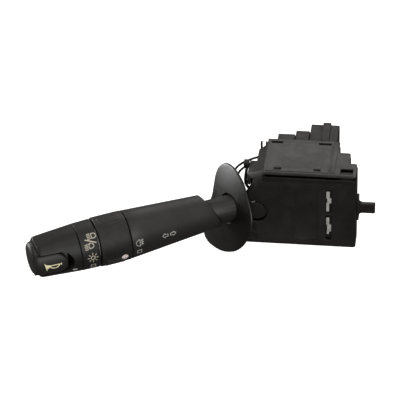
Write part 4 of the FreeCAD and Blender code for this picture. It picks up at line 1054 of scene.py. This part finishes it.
def line_in_steps(points, closed=False, longest=0.35):
    ends = list(points) + ([points[0]] if closed else [])
    line = []
    for first, last in zip(ends, ends[1:]):
        first, last = Vector(first), Vector(last)
        parts = max(1, math.ceil((last - first).length / longest))
        line += [first.lerp(last, k / parts) for k in range(parts)]
    if not closed:
        line.append(Vector(ends[-1]))
    return line


def round_line(centre, radius, first_deg=0.0, last_deg=360.0, steps=18, tall=1.0):
    turns = [math.radians(first_deg + (last_deg - first_deg) * k / steps) for k in range(steps + 1)]
    return [(centre[0] + radius * math.cos(a), centre[1] + radius * tall * math.sin(a)) for a in turns]


def ink_point(tree, mark, s_mid, angle_mid, level):
    """A point of a symbol, dropped on the surface below it and set above or into that surface."""
    angle = math.radians(angle_mid) + mark.y / INK_RADIUS
    inward = Vector((0.0, -math.cos(angle), -math.sin(angle)))
    hit, normal = tree.ray_cast(Vector((s_mid - mark.x, 0.0, 0.0)) - inward * RAY_FROM, inward)[:2]
    if normal.dot(inward) > 0:
        normal = -normal
    return hit + normal * level


def stroke_sections(line, width, closed):
    """For each point of a stroke: its place, the half width beside it and how many steps go across."""
    count = len(line)
    tapered = isinstance(width, tuple)
    across = math.ceil((max(width) if tapered else width) / INK_STEP)
    for k, place in enumerate(line):
        before = line[(k - 1) % count] if closed or k else place
        after = line[(k + 1) % count] if closed or k < count - 1 else place
        heading = (after - before).normalized()
        wide = width[0] + (width[1] - width[0]) * k / (count - 1) if tapered else width
        yield place, Vector((-heading.y, heading.x)) * wide / 2, across


def lay_stroke(shape, tree, s_mid, angle_mid, points, width, closed):
    """Adds one closed strip of ink to the shape."""
    rows = []
    for place, sideways, across in stroke_sections(line_in_steps(points, closed), width, closed):
        shares = [1 - 2 * j / across for j in range(across + 1)]
        section = [(x, INK_PROUD) for x in shares] + [(x, -INK_SUNK) for x in reversed(shares)]
        rows.append([
            shape.verts.new(ink_point(tree, place + sideways * share, s_mid, angle_mid, level))
            for share, level in section
        ])
    pairs = list(zip(rows, rows[1:])) + ([(rows[-1], rows[0])] if closed else [])
    for near, far in pairs:
        for j in range(len(near)):
            nxt = (j + 1) % len(near)
            shape.faces.new([near[j], near[nxt], far[nxt], far[j]])
    if not closed:
        shape.faces.new(rows[0])
        shape.faces.new(list(reversed(rows[-1])))


def printed(name, material, body, carrier, marks):
    """Lays ink strokes on a carrier: marks are (s, angle, points, width or widths, closed)."""
    back = ON_LEVER.inverted()
    tree = BVHTree.FromPolygons(
        [back @ vert.co for vert in carrier.data.vertices],
        [list(face.vertices) for face in carrier.data.polygons])
    shape = bmesh.new()
    for mark in marks:
        lay_stroke(shape, tree, *mark)
    bmesh.ops.recalc_face_normals(shape, faces=shape.faces)
    return piece_from(on_lever_mesh(shape, name), name, material, body)


def ink(name, colour, worn_colour):
    return plain(name, colour, worn_colour, 0.5, size_mm=0.8, grain_mm=0.2)


cream_ink = ink("cream_ink", (0.62, 0.58, 0.46), (0.38, 0.35, 0.27))
yellow_ink = ink("yellow_ink", (0.90, 0.86, 0.54), (0.72, 0.68, 0.42))
white_ink = ink("white_ink", (0.95, 0.90, 0.87), (0.80, 0.66, 0.60))
grey_ink = ink("grey_ink", (0.55, 0.53, 0.49), (0.30, 0.29, 0.27))


def lamp(beams):
    """A headlamp seen from the side: a D with its round end to the right, and beams to the left."""
    round_end = round_line((0.9, 0.0), LAMP_HALF, 75, -75, 10)
    body = [(-0.2, LAMP_HALF), (0.6, LAMP_HALF), *round_end, (0.6, -LAMP_HALF), (-0.2, -LAMP_HALF)]
    marks = [(body, STROKE, True)]
    for k in range(4):
        y = LAMP_HALF - 0.9 * k
        marks.append(([(-0.8, y), (-2.7, y + beams)], 0.4, False))
    return marks


def turned_marks(s, angle, tilt_deg, marks, size=1.0):
    """Sets a symbol's strokes on the stalk, turned by tilt_deg and scaled."""
    turn = Matrix.Rotation(math.radians(tilt_deg), 2) * size
    return [
        (s, angle, [turn @ Vector(point) for point in points], width, closed)
        for points, width, closed in marks
    ]


SUN = [(round_line((0, 0), 1.05, steps=14)[:-1], 0.45, True)]
for k in range(8):
    ray = Vector((math.cos(math.pi * k / 4), math.sin(math.pi * k / 4)))
    SUN.append(([ray * 1.75, ray * 2.85], 0.42, False))
SQUARE = [([(-1.15, -1.15), (1.15, -1.15), (1.15, 1.15), (-1.15, 1.15)], 0.4, True)]
SLASH = [([(-3.1, 0.25), (3.1, -0.25)], 0.55, False)]
band_marks = turned_marks(93.0, 53.0, -1, lamp(0.0), 0.95)
band_marks += turned_marks(94.15, 41.0, -20, SLASH)
band_marks += turned_marks(95.2, 30.5, 2, lamp(-0.5), 0.95)
band_marks += turned_marks(94.5, 0.0, 0, SUN)
band_marks += turned_marks(94.4, -28.0, 0, SQUARE)
printed("band_symbols", cream_ink, "lever", band_piece, band_marks)

fog_round_end = round_line((-0.6, 0.0), 1.5, 120, 240, 8)
FOG_LAMP = [([(0.1, 1.9), (-0.7, 1.7), *fog_round_end, (-0.7, -1.7), (0.1, -1.9)], 0.38, True)]
for k in range(3):
    FOG_LAMP.append(([(0.55, 1.1 - 1.1 * k), (2.0, 1.5 - 1.1 * k)], 0.32, False))
FOG_LAMP.append(([(1.3, 2.0), (1.05, 1.2), (1.5, 0.4), (1.05, -0.4), (1.4, -1.4)], 0.3, False))
arrow_line = [
    (-1.6, 0.0), (-0.2, 1.5), (-0.2, 0.7), (1.45, 0.7), (1.45, -0.7), (-0.2, -0.7), (-0.2, -1.5),
]
ARROW = [(arrow_line, 0.34, True)]
RIGHT_ARROW = [([(-x, y) for x, y in arrow_line], 0.34, True)]
handle_marks = turned_marks(69.1, 7.5, 0, FOG_LAMP)
handle_marks += turned_marks(69.6, -18.0, 0, SQUARE)
handle_marks += turned_marks(55.0, 6.5, 0, ARROW)
handle_marks += turned_marks(50.8, 6.5, 0, RIGHT_ARROW)
printed("handle_symbols", grey_ink, "lever", handle_piece, handle_marks)

DOT = [(round_line((0, 0), 0.9, steps=20)[:-1], 1.76, True)]
BAR = [([(-1.1, 0.0), (1.1, 0.0)], 0.9, False)]
printed("ring_dot", white_ink, "fog_ring", ring_piece, turned_marks(77.6, -22.0, 0, DOT))
printed("knob_mark", white_ink, "light_knob", knob_piece, turned_marks(104.0, -28.0, 0, BAR))
horn_loop = [(-1.7, 0.4), (-1.5, -0.6), (-0.6, -1.35), (0.9, -1.45), (2.1, -1.05), (2.8, -0.2), (2.9, 0.5)]
HORN = [
    ([(-4.2, 0.0), (-3.6, 0.1)], (5.8, 3.2), False),
    ([(-3.65, 0.1), (-1.6, 0.5)], (3.2, 1.0), False),
    ([(-1.7, 0.62), (4.3, 0.62)], 0.62, False),
    ([(4.05, 1.1), (4.05, 0.0)], 0.5, False),
    (horn_loop, 0.6, False),
]
printed("horn_symbol", yellow_ink, "horn_button", button_piece, turned_marks(115.0, 0.0, 0, HORN))
